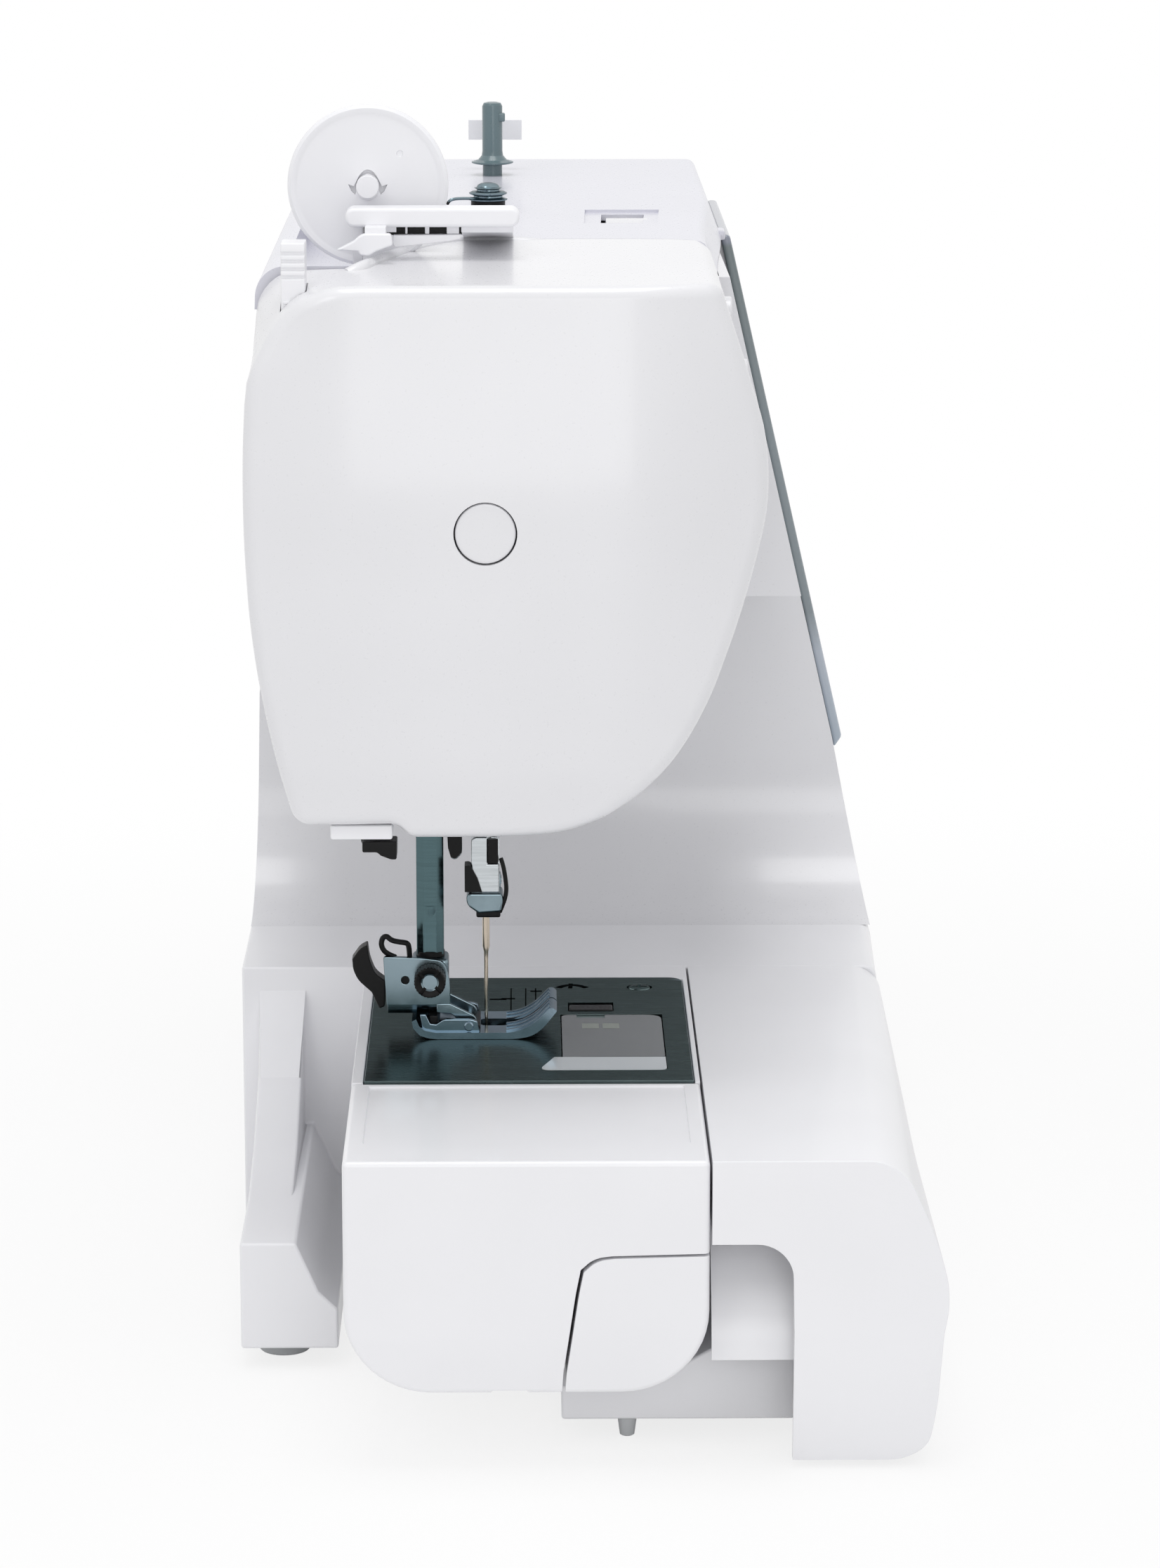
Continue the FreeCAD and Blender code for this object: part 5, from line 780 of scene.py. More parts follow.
class SEWING_OT_covers(bpy.types.Operator):
    """Model the white covers: head, lid, arm, column, bed, free arm and extension table"""

    bl_idname = "sewing.covers"
    bl_label = "Covers"

    def execute(self, context):
        head_face()
        lid()
        arm_end()
        table()
        for node, width in PLAIN_COVERS.items():
            skin = copied(node, node + "_skin")
            if node == "bed_cover":
                round_edges(skin, bed_bend, 6)
                grid(skin, "X", [spot(COLUMN_START, 0, 0)])
                move(skin, flare)
            if node == "arm_cover":
                move(skin, slim)
            stand_for(smooth(soften(skin, width, 3)), node, finish="table_white" if node in TABLE_TONED else None)
        return {"FINISHED"}


def plate_edge(edge):
    """True for the long top edges of the needle plate."""
    start, end = ((vert.co - DATUM) / MM for vert in edge.verts)
    long = abs(start.x - end.x) > 60 and min(start.z, end.z) > 82.3
    return long and not -43 < (start.y + end.y) / 2 < 42


# Marks on the needle plate: how far across the guide lines lie, and each dash's place along and its two ends.
GUIDE_LINES = (4.3, 0.2, -2.6)
DASHES = ((152.3, 10.3, 5.6), (160.9, -1.1, -4.4), (153, 7, 3.2), (152, 30, 26), (160, 30, 26))
# Radius and height of each step of a plate screw's head.
PLATE_SCREW = ((1.8, 0), (1.8, 2.2), (3.0, 2.2), (3.1, 3.3), (2.9, 3.6), (2.2, 3.75), (1.2, 3.8))


def needle_plate():
    """The steel plate with its guide marks and its two screws."""
    top = sides("needle_plate")[5]
    plate = copied("needle_plate", "plate")
    round_edges(plate, lambda edge: is_upright(edge, (175.6, 42.9), (175.6, -44.2)), 4, 6)
    round_edges(plate, plate_edge, 1.7, 1)
    stand_for(smooth(soften(plate, 0.25, 2, 50), 20), "needle_plate")
    dress_part(plate, "plated_steel", lambda centre: not spot(0, -42.7, 0).y < centre.y < spot(0, 41.4, 0).y)
    marks = [line_mark("line", spot(134, across, 0), spot(164, across, 0), top, 0.35) for across in GUIDE_LINES]
    marks += [line_mark("dash", spot(along, start, 0), spot(along, end, 0), top, 1.3)
              for along, start, end in DASHES]
    arc = wire("arc", [spot(x, y, 0) + up(top) for x, y in ((164.5, -9), (170.5, -12.7), (164.5, -17))], 1.0)
    move(arc, lambda place: up((top - place.z) * 0.95))
    stem = line_mark("stem", spot(163.9, -12.4, 0), spot(169, -12.6, 0), top, 1.2)
    extra(join("plate_marks", arc, stem, *marks), "machine", "black_plastic", finish="plate_mark")
    screws = []
    for across in (-32, 32):
        head = turned("plate_screw", spot(165, across, 79), "Z", PLATE_SCREW, 40)
        cross = [block("slot", spot(165 - a, across - b, 82.3), spot(165 + a, across + b, 84), 0)
                 for a, b in ((2.1, 0.4), (0.4, 2.1))]
        screws.append(cut(head, *cross))
    stand_for(smooth(join("plate_screw_heads", *screws)), "plate_screws", finish="needle_plate_steel")


def is_upright(edge, *corners):
    """True for upright edges at these places seen from above, in millimetres."""
    start, end = ((vert.co - DATUM) / MM for vert in edge.verts)
    if math.hypot(start.x - end.x, start.y - end.y) > 0.05 or abs(start.z - end.z) < 0.3:
        return False
    return any(math.hypot(start.x - x, start.y - y) < 0.3 for x, y in corners)


def line_mark(name, start, end, height, width):
    """A flat inlaid mark between two places."""
    along = (end - start).normalized()
    side = Vector((-along.y, along.x, 0)) * width * MM / 2
    corners = [start - side, end - side, end + side, start + side]
    return slab(name, [corner + up(height - 0.02 * MM) for corner in corners], (0, 0, 0.05))


# The clear cover's bright near edge, seen from above.
COVER_LIP = ((80.6, -37.4), (80.6, -4.6), (82.4, -3.9), (92.6, -7.4), (92.6, -37.4))


def hook_door():
    """The clear cover over the bobbin, with a bright step along its near edge, and its latch."""
    left, right, front, back, low, high = sides("hook_cover")
    corners = [Vector((x, y, low)) for x, y in ((left, front), (right, front), (right, back), (left, back))]
    cover = slab("bobbin_cover", corners, (0, 0, (high - low) / MM - 0.1), ((1, 4), (2, 2), (0, 2)))
    groove = block("groove", Vector((left + 11 * MM, front - MM, high - 0.6 * MM)),
                   Vector((left + 11.9 * MM, back - 5 * MM, high + MM)), 0)
    nick = block("nick", Vector((right - 3.4 * MM, back - 12 * MM, high - 0.5 * MM)),
                 Vector((right + MM, back - 4.2 * MM, high + MM)), 0)
    dot = turned("dot", Vector((left + 2.4 * MM, front + 5 * MM, high - MM)), "Z", ((0.8, 0), (0.8, 3)), 24)
    cut(cover, groove, nick, dot)
    soften(cover, 0.3, 3)
    lip = slab("cover_lip", top_view(82.45, *COVER_LIP), (0, 0, 0.35), ((0, 1.5), (1, 1.2), (2, 1.2)))
    cover = join("bobbin_cover", clean(cover), soften(lip, 0.12, 2))
    stand_for(smooth(cover), "hook_cover")
    dress_part(cover, "clear_lip", lambda centre: centre.x < left + 11 * MM)
    fields = [block("field", Vector((x, y, high - 0.12 * MM)),
                    Vector((x + 5 * MM, y + 4.6 * MM, high - 0.06 * MM)), 0)
              for x, y in ((right - 14 * MM, back - 10.2 * MM), (right - 14 * MM, back - 15.8 * MM))]
    extra(join("cover_fields", *fields), "hook_door", "grey_plastic", finish="field_grey")
    finished("hook_latch", "cover_latch", 0.4, 3)
    for node in ("feed_dog", "feed_bar", "bobbin", "bobbin_case", "hook_race"):
        finished(node, node + "_finished", 0.15)


class SEWING_OT_plate(bpy.types.Operator):
    """Model the needle plate, its screws and marks, the bobbin cover, hook and feed teeth"""

    bl_idname = "sewing.plate"
    bl_label = "Needle plate"

    def execute(self, context):
        needle_plate()
        hook_door()
        return {"FINISHED"}


def needle_bar():
    """The round bar that carries the needle."""
    bar = turned("needle_rod", spot(*NEEDLE, 0), "Z", ((2.6, 129), (3, 129.6), (3, 264), (2.4, 265.6)), 48)
    stand_for(smooth(bar), "needle_bar", finish="bright_steel")


# The needle clamp's foot and the guard's catch seen from the arm's end, and the guard wire's bends.
CLAMP_FOOT = ((16.4, 121.9), (6.6, 121.9), (6.1, 119.8), (6.9, 116.6), (13, 116.2), (16.1, 118.4))
GUARD_CATCH = ((16.7, 122.2), (16.7, 129.6), (15.2, 129.8), (13.2, 126), (12, 122.2))
GUARD = ((118.6, 6.9, 131.5), (118.4, 6.3, 130), (118.2, 5.6, 126), (118.2, 5.3, 122.5), (118.2, 5.9, 119.5),
         (118.6, 7.2, 116.4))


def needle_clamp():
    """The needle clamp with its dark trim, the thread guard round it and a black sheet in its channel as painted
    shade.
    """
    body = slab("clamp_body", end_view(118.2, (15, 121.8), (14.9, 137.4), (7.2, 137.4), (7.3, 121.8)), (7.4, 0, 0),
                ((0, 1), (1, 1.5), (2, 1.5)))
    foot = slab("clamp_foot", end_view(117.4, *CLAMP_FOOT), (8.6, 0, 0), ((0, 1.6), (2, 1), (5, 1.2)))
    channel = block("channel", spot(117, 7.2, 130), spot(119.4, 10.4, 138.6), 0)
    cut(body, channel)
    clamp = join("needle_clamp_block", soften(body, 0.5, 3), soften(foot, 0.7, 3))
    stand_for(smooth(clean(clamp)), "needle_clamp")
    dress_part(clamp, "bright_steel", lambda centre: centre.z > 121.9 * MM)
    trim = [
        slab("catch", end_view(117.6, *GUARD_CATCH), (5, 0, 0), ((2, 0.8),)),
        block("collar", spot(118, 7, 114.9), spot(126, 13.6, 117), 0.5),
        # A black sheet in the clamp's channel: painted shade.
        slab("shade", end_view(117.9, (10.3, 130.2), (7.6, 130.2), (7.6, 136.8), (10.3, 136.8)), (1.2, 0, 0)),
        wire("guard", [spot(*place) for place in GUARD], 0.6),
    ]
    extra(join("clamp_trim", *trim), "needle_carrier", "black_plastic")


# Radius and height of each step up the needle, from its point.
NEEDLE_STEPS = ((0.05, 82.4), (0.32, 84), (0.52, 87.5), (0.56, 102), (0.62, 104.4), (1.0, 106), (1.0, 125.8))


def needle():
    """The needle, with its long groove and its eye."""
    blade = turned("needle_blade", spot(*NEEDLE, 0), "Z", NEEDLE_STEPS, 28)
    groove = block("groove", spot(121.2, 10.86, 86.4), spot(121.62, 11.14, 103), 0)
    eye = turned("eye", spot(119, 11, 86.2), "X", ((0.2, 0), (0.2, 6)), 12)
    stand_for(smooth(cut(blade, groove, eye)), "needle", finish="needle_steel")


# The threader's hook, seen from the arm's end.
THREADER = ((21.6, 141), (21.2, 134), (20.4, 131.2), (19.2, 130.6), (17.4, 132.4), (17.4, 141))


def threader():
    """The hook of the needle threader, dark with a pale tip."""
    arm = slab("threader", end_view(119.6, *THREADER), (4.2, 0, 0), ((3, 0.8), (4, 0.8)))
    extra(smooth(soften(arm, 0.3)), "machine", "grey_plastic", finish="black_plastic")
    dress_part(arm, "grey_plastic", lambda centre: centre.z < 132.6 * MM)


# Radius and depth of each step of the knob.
CLAMP_KNOB = ((1.5, 0), (1.5, 3.4), (3.6, 3.4), (4.3, 3.9), (4.3, 7.6), (3.7, 8.3))


def clamp_screw():
    """The fluted screw that holds the needle."""
    screw = turned("clamp_knob", spot(123.2, NEEDLE[1], 123), "X", CLAMP_KNOB, 48)
    stand_for(smooth(flute(screw, spot(0, NEEDLE[1], 123), 4.3, 24, 126.8, 131.2)), "clamp_screw")


def flute(obj, centre, radius, count, start, end):
    """Cuts small grip grooves along a knob that turns about the machine's length."""
    cutters = []
    for number in range(count):
        angle = 2 * math.pi * number / count
        place = Vector((spot(start - 0.5, 0, 0).x, centre.y + math.cos(angle) * radius * MM,
                        centre.z + math.sin(angle) * radius * MM))
        cutters.append(turned("flute", place, "X", ((radius * 0.06, 0), (radius * 0.06, end - start + 1)), 8))
    return cut(obj, join("flutes", *cutters))


# The presser bar's eight-sided section.
PRESSER_SECTION = ((118.6, 24.4), (118.6, 28), (120.2, 29.9), (123.8, 29.9), (125.4, 28), (125.4, 24.4),
                   (123.8, 22.5), (120.2, 22.5))


def presser_bar():
    """The presser bar, which ends in a round neck."""
    bar = slab("presser_rod", top_view(104, *PRESSER_SECTION), (0, 0, 94))
    neck = turned("neck", spot(*PRESSER, 0), "Z", ((3.3, 92), (3.3, 114.6), (3.7, 116.4), (3.7, 118)), 40)
    rod = join("presser_rod", soften(bar, 0.3, 2, 30), neck)
    stand_for(smooth(rod), "presser_bar", finish="bar_steel")


# The holder's plate, flange and arms as outlines, and the bends of its thread hook.
HOLDER_PLATE = ((39.0, 104.6), (38.1, 91), (20.7, 91), (20.8, 97.6), (22.3, 103.4), (29, 104.2))
HOLDER_FLANGE = ((115.5, 91.6), (117.3, 91.6), (119, 89.4), (127, 88.9), (127, 87.8), (117.6, 88.2),
                 (115.5, 90.2))
HOLDER_ARM = ((24.5, 91.4), (20.8, 91.4), (13.9, 87.9), (13.4, 86.2), (14.6, 84.9), (17, 85.6), (20.6, 88.6),
              (24.5, 89))
THREAD_HOOK = ((118, 35.6, 103.9), (117.4, 38.2, 105), (117, 39.6, 107.4), (117, 39.2, 109.6), (117, 38, 110.2),
               (117, 36.8, 108.9), (117, 34.4, 108.4), (117, 32.3, 108.2), (117.4, 31.9, 106.6),
               (118, 31.8, 104))


def foot_holder():
    """The foot holder, with its dark thread hook and collar, and a black disc in its hole as painted shade."""
    plate = slab("holder_plate", end_view(115.5, *HOLDER_PLATE), (1.8, 0, 0), ((0, 0.8), (3, 2), (4, 2)))
    hole = turned("hole", spot(110, 33, 98), "X", ((1.1, 0), (1.1, 10)), 24)
    cut(plate, hole)
    flange = slab("flange", side_view(20.7, *HOLDER_FLANGE), (0, 17.2, 0), ((2, 1), (6, 1.4)))
    hub = block("hub", spot(117, 21.2, 91.5), spot(127, 31.2, 103.6), 1.2, 3)
    arms = [slab("arm", end_view(along, *HOLDER_ARM), (1.3, 0, 0), ((2, 1), (3, 0.8), (4, 0.8)))
            for along in (115.2, 125.4)]
    holder = join("foot_clamp", soften(plate, 0.35), soften(flange, 0.3), hub,
                  *(soften(arm, 0.25) for arm in arms))
    stand_for(smooth(holder), "foot_holder")
    # A black disc set into the holder's hole: painted shade of its depth.
    pit = turned("pit", spot(116.4, 33, 98), "X", ((1.25, 0), (1.25, 0.8)), 24)
    loop = wire("thread_hook", [spot(*place) for place in THREAD_HOOK], 0.75)
    collar = turned("rod_collar", spot(*PRESSER, 0), "Z",
                    ((3.7, 103.4), (3.9, 103.7), (3.9, 104.9), (3.6, 105.2)), 40)
    extra(smooth(join("holder_trim", loop, collar, pit)), "presser", "black_plastic")


# Radius and depth of each step of the thumb screw, from its face.
FOOT_KNOB = ((2.0, 0.9), (2.4, 0.5), (3.0, 0.1), (3.9, 0.0), (4.3, 0.5), (4.3, 4.6), (3.9, 5.1), (1.5, 5.1),
             (1.5, 11))


def foot_screw():
    """The thumb screw of the foot holder: a fluted dark knob with a crossed bright slot."""
    axis = spot(0, PRESSER[1], 98.6)
    screw = turned("foot_knob", spot(110.2, PRESSER[1], 98.6), "X", FOOT_KNOB, 56)
    slot = block("slot", spot(109, 25.75, 94.6), spot(111.1, 26.65, 102.6), 0)
    move(slot, lambda place: turn_about(place, axis, 40))
    twin = duplicate(slot, "slot")
    move(twin, lambda place: turn_about(place, axis, 90))
    knob = flute(cut(screw, slot, twin), axis, 4.35, 28, 110.9, 115)
    stand_for(smooth(knob), "foot_screw", finish="black_plastic")
    dress_part(knob, "plated_steel", lambda centre: (centre - spot(110.3, PRESSER[1], 98.6)).length < 2.4 * MM)


# The release lever, seen from the arm's end.
RELEASE = ((47.4, 103.9), (45.3, 106.9), (43.2, 108), (42.7, 103.9), (41.2, 99.9), (38.4, 97.8), (38.6, 90.6),
           (40.2, 90.0), (42.2, 94.6), (45.9, 98), (47.2, 101))


def release_lever():
    """The lever at the rear of the holder that lets the foot go."""
    lever = slab("release", end_view(115.5, *RELEASE), (5.5, 0, 0), ((1, 1), (3, 1.4), (4, 1.4), (9, 1.4), (10, 1)))
    stand_for(smooth(soften(lever, 0.5, 3)), "release_lever")


# The foot of the buttonhole lever, seen from the arm's end.
TAB_FOOT = ((42.4, 150.2), (33.4, 150.2), (33.5, 145.4), (35, 145.4), (37.6, 146.4), (38.6, 147.3), (42.4, 147.3))


def buttonhole_tab():
    """The buttonhole lever under the head, with a foot at its lower end."""
    tab = soften(copied("buttonhole_lever", "buttonhole_tab"), 0.6, 3)
    move(tab, lambda place: up(1.7 * MM if place.z < 158 * MM else 0))
    stand_for(smooth(tab), "buttonhole_lever")
    under = slab("tab_foot", end_view(59.5, *TAB_FOOT), (7, 0, 0), ((2, 0.5), (3, 0.5)))
    extra(smooth(soften(under, 0.4)), "buttonhole", "black_plastic")


def turn_about(place, centre, degrees):
    """The way from a place to where a turn about the machine's length takes it."""
    angle = math.radians(degrees)
    y, z = place.y - centre.y, place.z - centre.z
    return Vector((0, y * math.cos(angle) - z * math.sin(angle) - y, y * math.sin(angle) + z * math.cos(angle) - z))


# The line of the foot's upper side, from its middle forwards to the turned-up toe: across and up.
FOOT_TOP = ((5.5, 84.4), (3, 84.7), (0.4, 85.6), (-2.6, 87.4), (-6.2, 91.2))
# The foot's sole, the slot in its toe and its side rails as outlines, and the steps of its cross pin.
SOLE = ((31.2, 87.6), (30.8, 85.6), (29, 83.6), (26.4, 82.75), (24, 82.6), (2.5, 82.6), (-1.5, 83.4),
        (-4.4, 85.4), (-8.3, 90.4), (-7.3, 91.3), (-6.2, 91.2), (-2.6, 87.4), (0.4, 85.6), (3, 84.7), (5, 84.4),
        (24.6, 84.4), (27.6, 85), (29.2, 86.2), (30, 88.2))
TOE_GAP = ((121.6, -12), (122.4, -12), (122.6, 1), (125.5, 6), (125.5, 12.5), (118.5, 12.5), (118.5, 6),
           (121.4, 1))
FOOT_RAIL = ((29, 89.2), (28.2, 84), (12.6, 84), (13.4, 87.2), (15, 87.8), (22.6, 87.8), (24.6, 86.4),
             (26.2, 86.6), (27.4, 89.2))
CROSS_PIN = ((1.0, 0), (1.3, 0.3), (1.3, 0.8), (0.85, 0.8), (0.85, 20), (1.3, 20), (1.3, 20.6), (1.0, 20.8))


def presser_foot():
    """The zigzag foot: a sole with an upturned ribbed toe, two rails, a needle slot and its cross pin."""
    sole = slab("sole", end_view(111, *SOLE), (22, 0, 0),
                ((3, 1), (5, 2), (6, 1.5), (7, 2), (9, 0.5), (10, 0.5), (11, 2), (12, 1.5), (13, 1)))
    round_edges(sole, lambda edge: all(vert.co.y < spot(0, -6, 0).y for vert in edge.verts)
                and abs(edge.verts[0].co.x - edge.verts[1].co.x) < TINY and edge.calc_face_angle(0) > 1, 0.5, 3)
    toe = slab("toe_gap", top_view(81, *TOE_GAP), (0, 0, 14), ((4, 1.5), (5, 1.5)))
    cut(sole, toe)
    rails = []
    for along in (112.2, 129.8):
        rail = slab("rail", end_view(along, *FOOT_RAIL), (1.6, 0, 0), ((4, 0.8), (5, 0.8)))
        rails.append(soften(rail, 0.25))
    pin = turned("pin", spot(111.6, 15.7, 85.9), "X", CROSS_PIN, 28)
    bridge = block("bridge", spot(112.6, 16.4, 84.3), spot(131, 24, 86), 0.4)
    rib_edge = [(y, z - 0.3) for y, z in FOOT_TOP] + [(y, z + 0.45) for y, z in FOOT_TOP[::-1]]
    rib = slab("rib", end_view(112.6, *rib_edge), (0.9, 0, 0), ((1, 1), (2, 1), (3, 1), (6, 1), (7, 1), (8, 1)), 3)
    ribs = [rib]
    for step in (3.4, 6.6, 11.4, 14.8, 18):
        twin = duplicate(rib, "rib")
        ribs.append(move(twin, lambda place, step=step: Vector((step * MM, 0, 0))))
    foot = join("zigzag_foot", soften(sole, 0.3, 2), pin, bridge, *rails, *ribs)
    stand_for(smooth(foot), "presser_foot", finish="foot_steel")
    spring = join("foot_spring", block("leaf", spot(114, 24.2, 84.5), spot(129.6, 26.6, 88.4), 0.5),
                  block("leaf", spot(114, 12.6, 84.5), spot(129.6, 14.4, 85.6), 0.3))
    extra(smooth(spring), "foot", "black_plastic")


class SEWING_OT_needle(bpy.types.Operator):
    """Model the needle bar, its clamp, screw and connecting rod, the needle and the threader"""

    bl_idname = "sewing.needle"
    bl_label = "Needle"

    def execute(self, context):
        needle_bar()
        needle_clamp()
        needle()
        threader()
        clamp_screw()
        finished("connecting_rod", "rod_finished", 0.3)
        return {"FINISHED"}


class SEWING_OT_presser(bpy.types.Operator):
    """Model the presser bar, foot holder, foot, lifter and buttonhole lever"""

    bl_idname = "sewing.presser"
    bl_label = "Presser foot"

    def execute(self, context):
        presser_bar()
        foot_holder()
        foot_screw()
        release_lever()
        presser_foot()
        for node in ("presser_lifter", "presser_spring"):
            finished(node, node + "_finished", 0.3)
        buttonhole_tab()
        return {"FINISHED"}


# Opposite corners of the thread guide's small blocks: the white ones under its rail, then the dark fittings.
GUIDE_BLOCKS = (((109.6, 42.4, 287.9), (113, 45, 304.6)), ((100.2, 36, 301.2), (107, 41.6, 304.6)),
                ((110.1, 30.65, 301.8), (111.3, 31.25, 304.4)), ((110.1, 24.9, 301.8), (111.3, 26.1, 304.4)),
                ((110.1, 17.1, 301.8), (111.3, 20.4, 304.4)))
GUIDE_FITTINGS = (((111.2, 16.4, 301.5), (112.6, 33.6, 304.2)), ((110.6, 33.4, 301.5), (111.4, 41, 302.2)),
                  ((110.4, 40.7, 301.5), (111.4, 42.2, 304.2)))
# The thread guide's web from the user's side, and its ledge and shield from the arm's end.
GUIDE_WEB = ((109.8, 304.6), (109.8, 302.2), (159, 295.4), (164, 295.4), (164, 296.2), (114, 304.6))
GUIDE_LEDGE = ((34.4, 301.7), (16.4, 301.8), (16.8, 300.6), (19.7, 300), (34.1, 298.4), (34.6, 299.8))
GUIDE_SHIELD = ((48.9, 298.9), (44.4, 301.2), (42.3, 303.1), (34.6, 303.1), (34.2, 300.2), (38.5, 298.6),
                (40.6, 297.3), (42.9, 297.6), (43.2, 298.5))


def thread_guide():
    """The thread guide: a round-ended rail on a post and a web, with dark fittings and a white shield under it."""
    bar = slab("guide_rail", end_view(105.8, (1.3, 304), (46.8, 304), (46.8, 309), (1.3, 309)), (8.4, 0, 0),
               ((0, 2.3), (1, 2.3), (2, 2.3), (3, 2.3)), 8)
    web = slab("guide_web", side_view(3, *GUIDE_WEB), (0, 13.6, 0), ((4, 0.5),))
    ledge = slab("guide_ledge", end_view(109, *GUIDE_LEDGE), (3.4, 0, 0), ((2, 0.4), (4, 0.6)))
    shield = slab("shield", end_view(98.5, *GUIDE_SHIELD), (3, 0, 0), ((2, 1.2), (3, 0.8), (4, 0.6), (6, 0.8)))
    small = [block("guide_part", spot(*low), spot(*high), 0.25) for low, high in GUIDE_BLOCKS]
    rail = join("thread_rail", soften(bar, 0.9, 4, 50), soften(web, 0.3), soften(ledge, 0.3),
                soften(shield, 0.5, 3), *small)
    stand_for(smooth(rail), "guide_bar")
    dark = [block("fitting", spot(*low), spot(*high), 0.15) for low, high in GUIDE_FITTINGS]
    extra(smooth(join("guide_fittings", *dark)), "machine", "black_plastic")


# The middle of the reel pin, and the split in the cap's hub round it: across and up.
REEL = (41.4, 313)
HUB_SPLIT = ((5.2, 0.3), (4.3, -1.6), (3.4, -2.4), (2.6, -0.4), (1.5, 2.2), (0, 3.5), (-1.5, 2.2), (-2.6, -0.4),
             (-3.4, -2.4), (-4.3, -1.6), (-5.2, 0.3), (-3.7, -0.2), (-2.4, 2.4), (-1, 4.2), (1, 4.2),
             (2.4, 2.4), (3.7, -0.2))
# Radius and depth of each step of the reel cap, from its rim.
REEL_CAP = ((5, 0.4), (18.6, 0.4), (19.2, 0.1), (20.4, 0.0), (21.1, 0.5), (21.3, 1.2), (21.3, 2.2), (20.8, 2.7),
            (8.5, 2.9), (7.5, 8), (5.5, 8))


def thread_cap():
    """The cap that holds the reel on its pin, with the split hub that grips the pin."""
    centre = spot(0, *REEL)
    cap = turned("reel_cap", centre + Vector((spot(125, 0, 0).x - centre.x, 0, 0)), "X", REEL_CAP, 96)
    hub = turned("hub", spot(121.6, REEL[0], 312.2), "X",
                 ((1.2, 0), (2.2, 0.3), (2.7, 0.9), (2.9, 1.8), (2.9, 4.2)), 48)
    around = [(REEL[0] + y, REEL[1] + z) for y, z in HUB_SPLIT]
    split = slab("split", end_view(122, *around), (5, 0, 0), ((5, 1), (13, 1), (14, 1)))
    dimple = turned("dimple", spot(123, 32.9, 321.4), "X", ((0.9, 0), (1.0, 2.2), (0.8, 2.7)), 24)
    cut(cap, split, dimple)
    whole = join("reel_cap", smooth(soften(clean(cap), 0.15, 2, 50)), hub)
    stand_for(smooth(whole), "spool_cap")
    finished("spool_pin", "reel_pin", 0.5, 3)


# Radius and height of each step up the winder's spindle.
WINDER_POST = ((2.6, 272), (3, 272.6), (3, 298.6), (5.4, 299.0), (6.4, 299.3), (6.4, 299.7), (4.4, 300.3),
               (3.3, 301.6), (3.1, 303), (3.1, 316.6), (2.6, 317.6), (1.5, 317.9))


def winder():
    """The bobbin winder: its spindle and stopper."""
    spindle = turned("winder_post", spot(335, 9.8, 0), "Z", WINDER_POST, 48)
    catch = block("catch", spot(332.5, 5.9, 312), spot(336, 8, 314.6), 0.4)
    whole = join("winder_post", smooth(spindle), catch)
    stand_for(smooth(whole), "winder_spindle", finish="slate_plastic")
    finished("winder_stopper", "stopper", 0.8, 3)


# Radius and height of each step of the tension disc, and the bends of its hook.
TENSION_DISC = ((3.5, 298.5), (5.5, 298.6), (5.6, 298.9), (4.1, 299.4), (4.1, 299.8), (5.3, 300.3),
                (5.5, 300.6), (4.6, 301.1), (3.2, 301.2), (3.2, 301.6), (4, 302), (3.2, 302.3), (3, 302.8),
                (2.2, 303.3), (1.2, 303.5))
TENSION_HOOK = ((230, 6.5, 298.8), (228, 13, 299.1), (226, 19, 299.4), (225, 21.5, 299), (225.5, 22, 297.8))


def winder_tension():
    """The stacked tension disc on the lid, with its wire hook."""
    base = turned("tension_base", spot(230, 10.4, 0), "Z", ((4.9, LID_TOP), (4.9, 298.4), (4.2, 298.7)), 48)
    disc = turned("disc", spot(230, 10.4, 0), "Z", TENSION_DISC, 48)
    hook = wire("hook", [spot(*place) for place in TENSION_HOOK], 0.45)
    whole = join("winder_tension", base, smooth(disc), hook)
    stand_for(smooth(whole), "winder_tensioner", finish="black_plastic")
    dress_part(whole, "plated_steel", lambda centre: centre.z > 298.5 * MM)


def cutter():
    """The thread cutter's tab at the rear of the head, ridged for the thumb."""
    tab = soften(copied("thread_cutter", "cutter_tab"), 0.7, 3)
    ridges = [block("ridge", spot(63.7, 55.9, height), spot(66, 61.3, height + 0.9), 0.3)
              for height in (285.5, 287.3, 289.1)]
    brace = slab("brace", end_view(64.4, (55.9, 288.4), (50.2, 284.2), (55.9, 282.2)), (4, 0, 0), ((1, 1),))
    stand_for(smooth(join("cutter_tab", tab, *ridges, soften(brace, 0.5))), "thread_cutter")


class SEWING_OT_top(bpy.types.Operator):
    """Model the fittings on top: thread guide, reel cap and pin, bobbin winder, thread cutter and tension dial"""

    bl_idname = "sewing.top"
    bl_label = "Top fittings"

    def execute(self, context):
        thread_guide()
        thread_cap()
        winder()
        winder_tension()
        cutter()
        finished("tension_dial", "thread_dial", 0.4, finish="cover_white")
        return {"FINISHED"}


# How far the edges of each control and foot are rounded, which controls are white like the covers, and how far
# the display window is set back into the panel.
SOFTENED = {
    "fascia_panel": 1.0, "display_window": 0.3, "start_button": 0.5, "reverse_button": 0.5, "speed_slider": 0.6,
    "handwheel": 1.4, "power_inlet": 0.6, "power_switch": 0.6, "drop_feed_lever": 0.5, "rubber_feet": 0.8,
    "base_pan": 0.4,
}
WHITE_CONTROLS = ("start_button", "reverse_button", "speed_slider")
WINDOW_SINK = 0.75


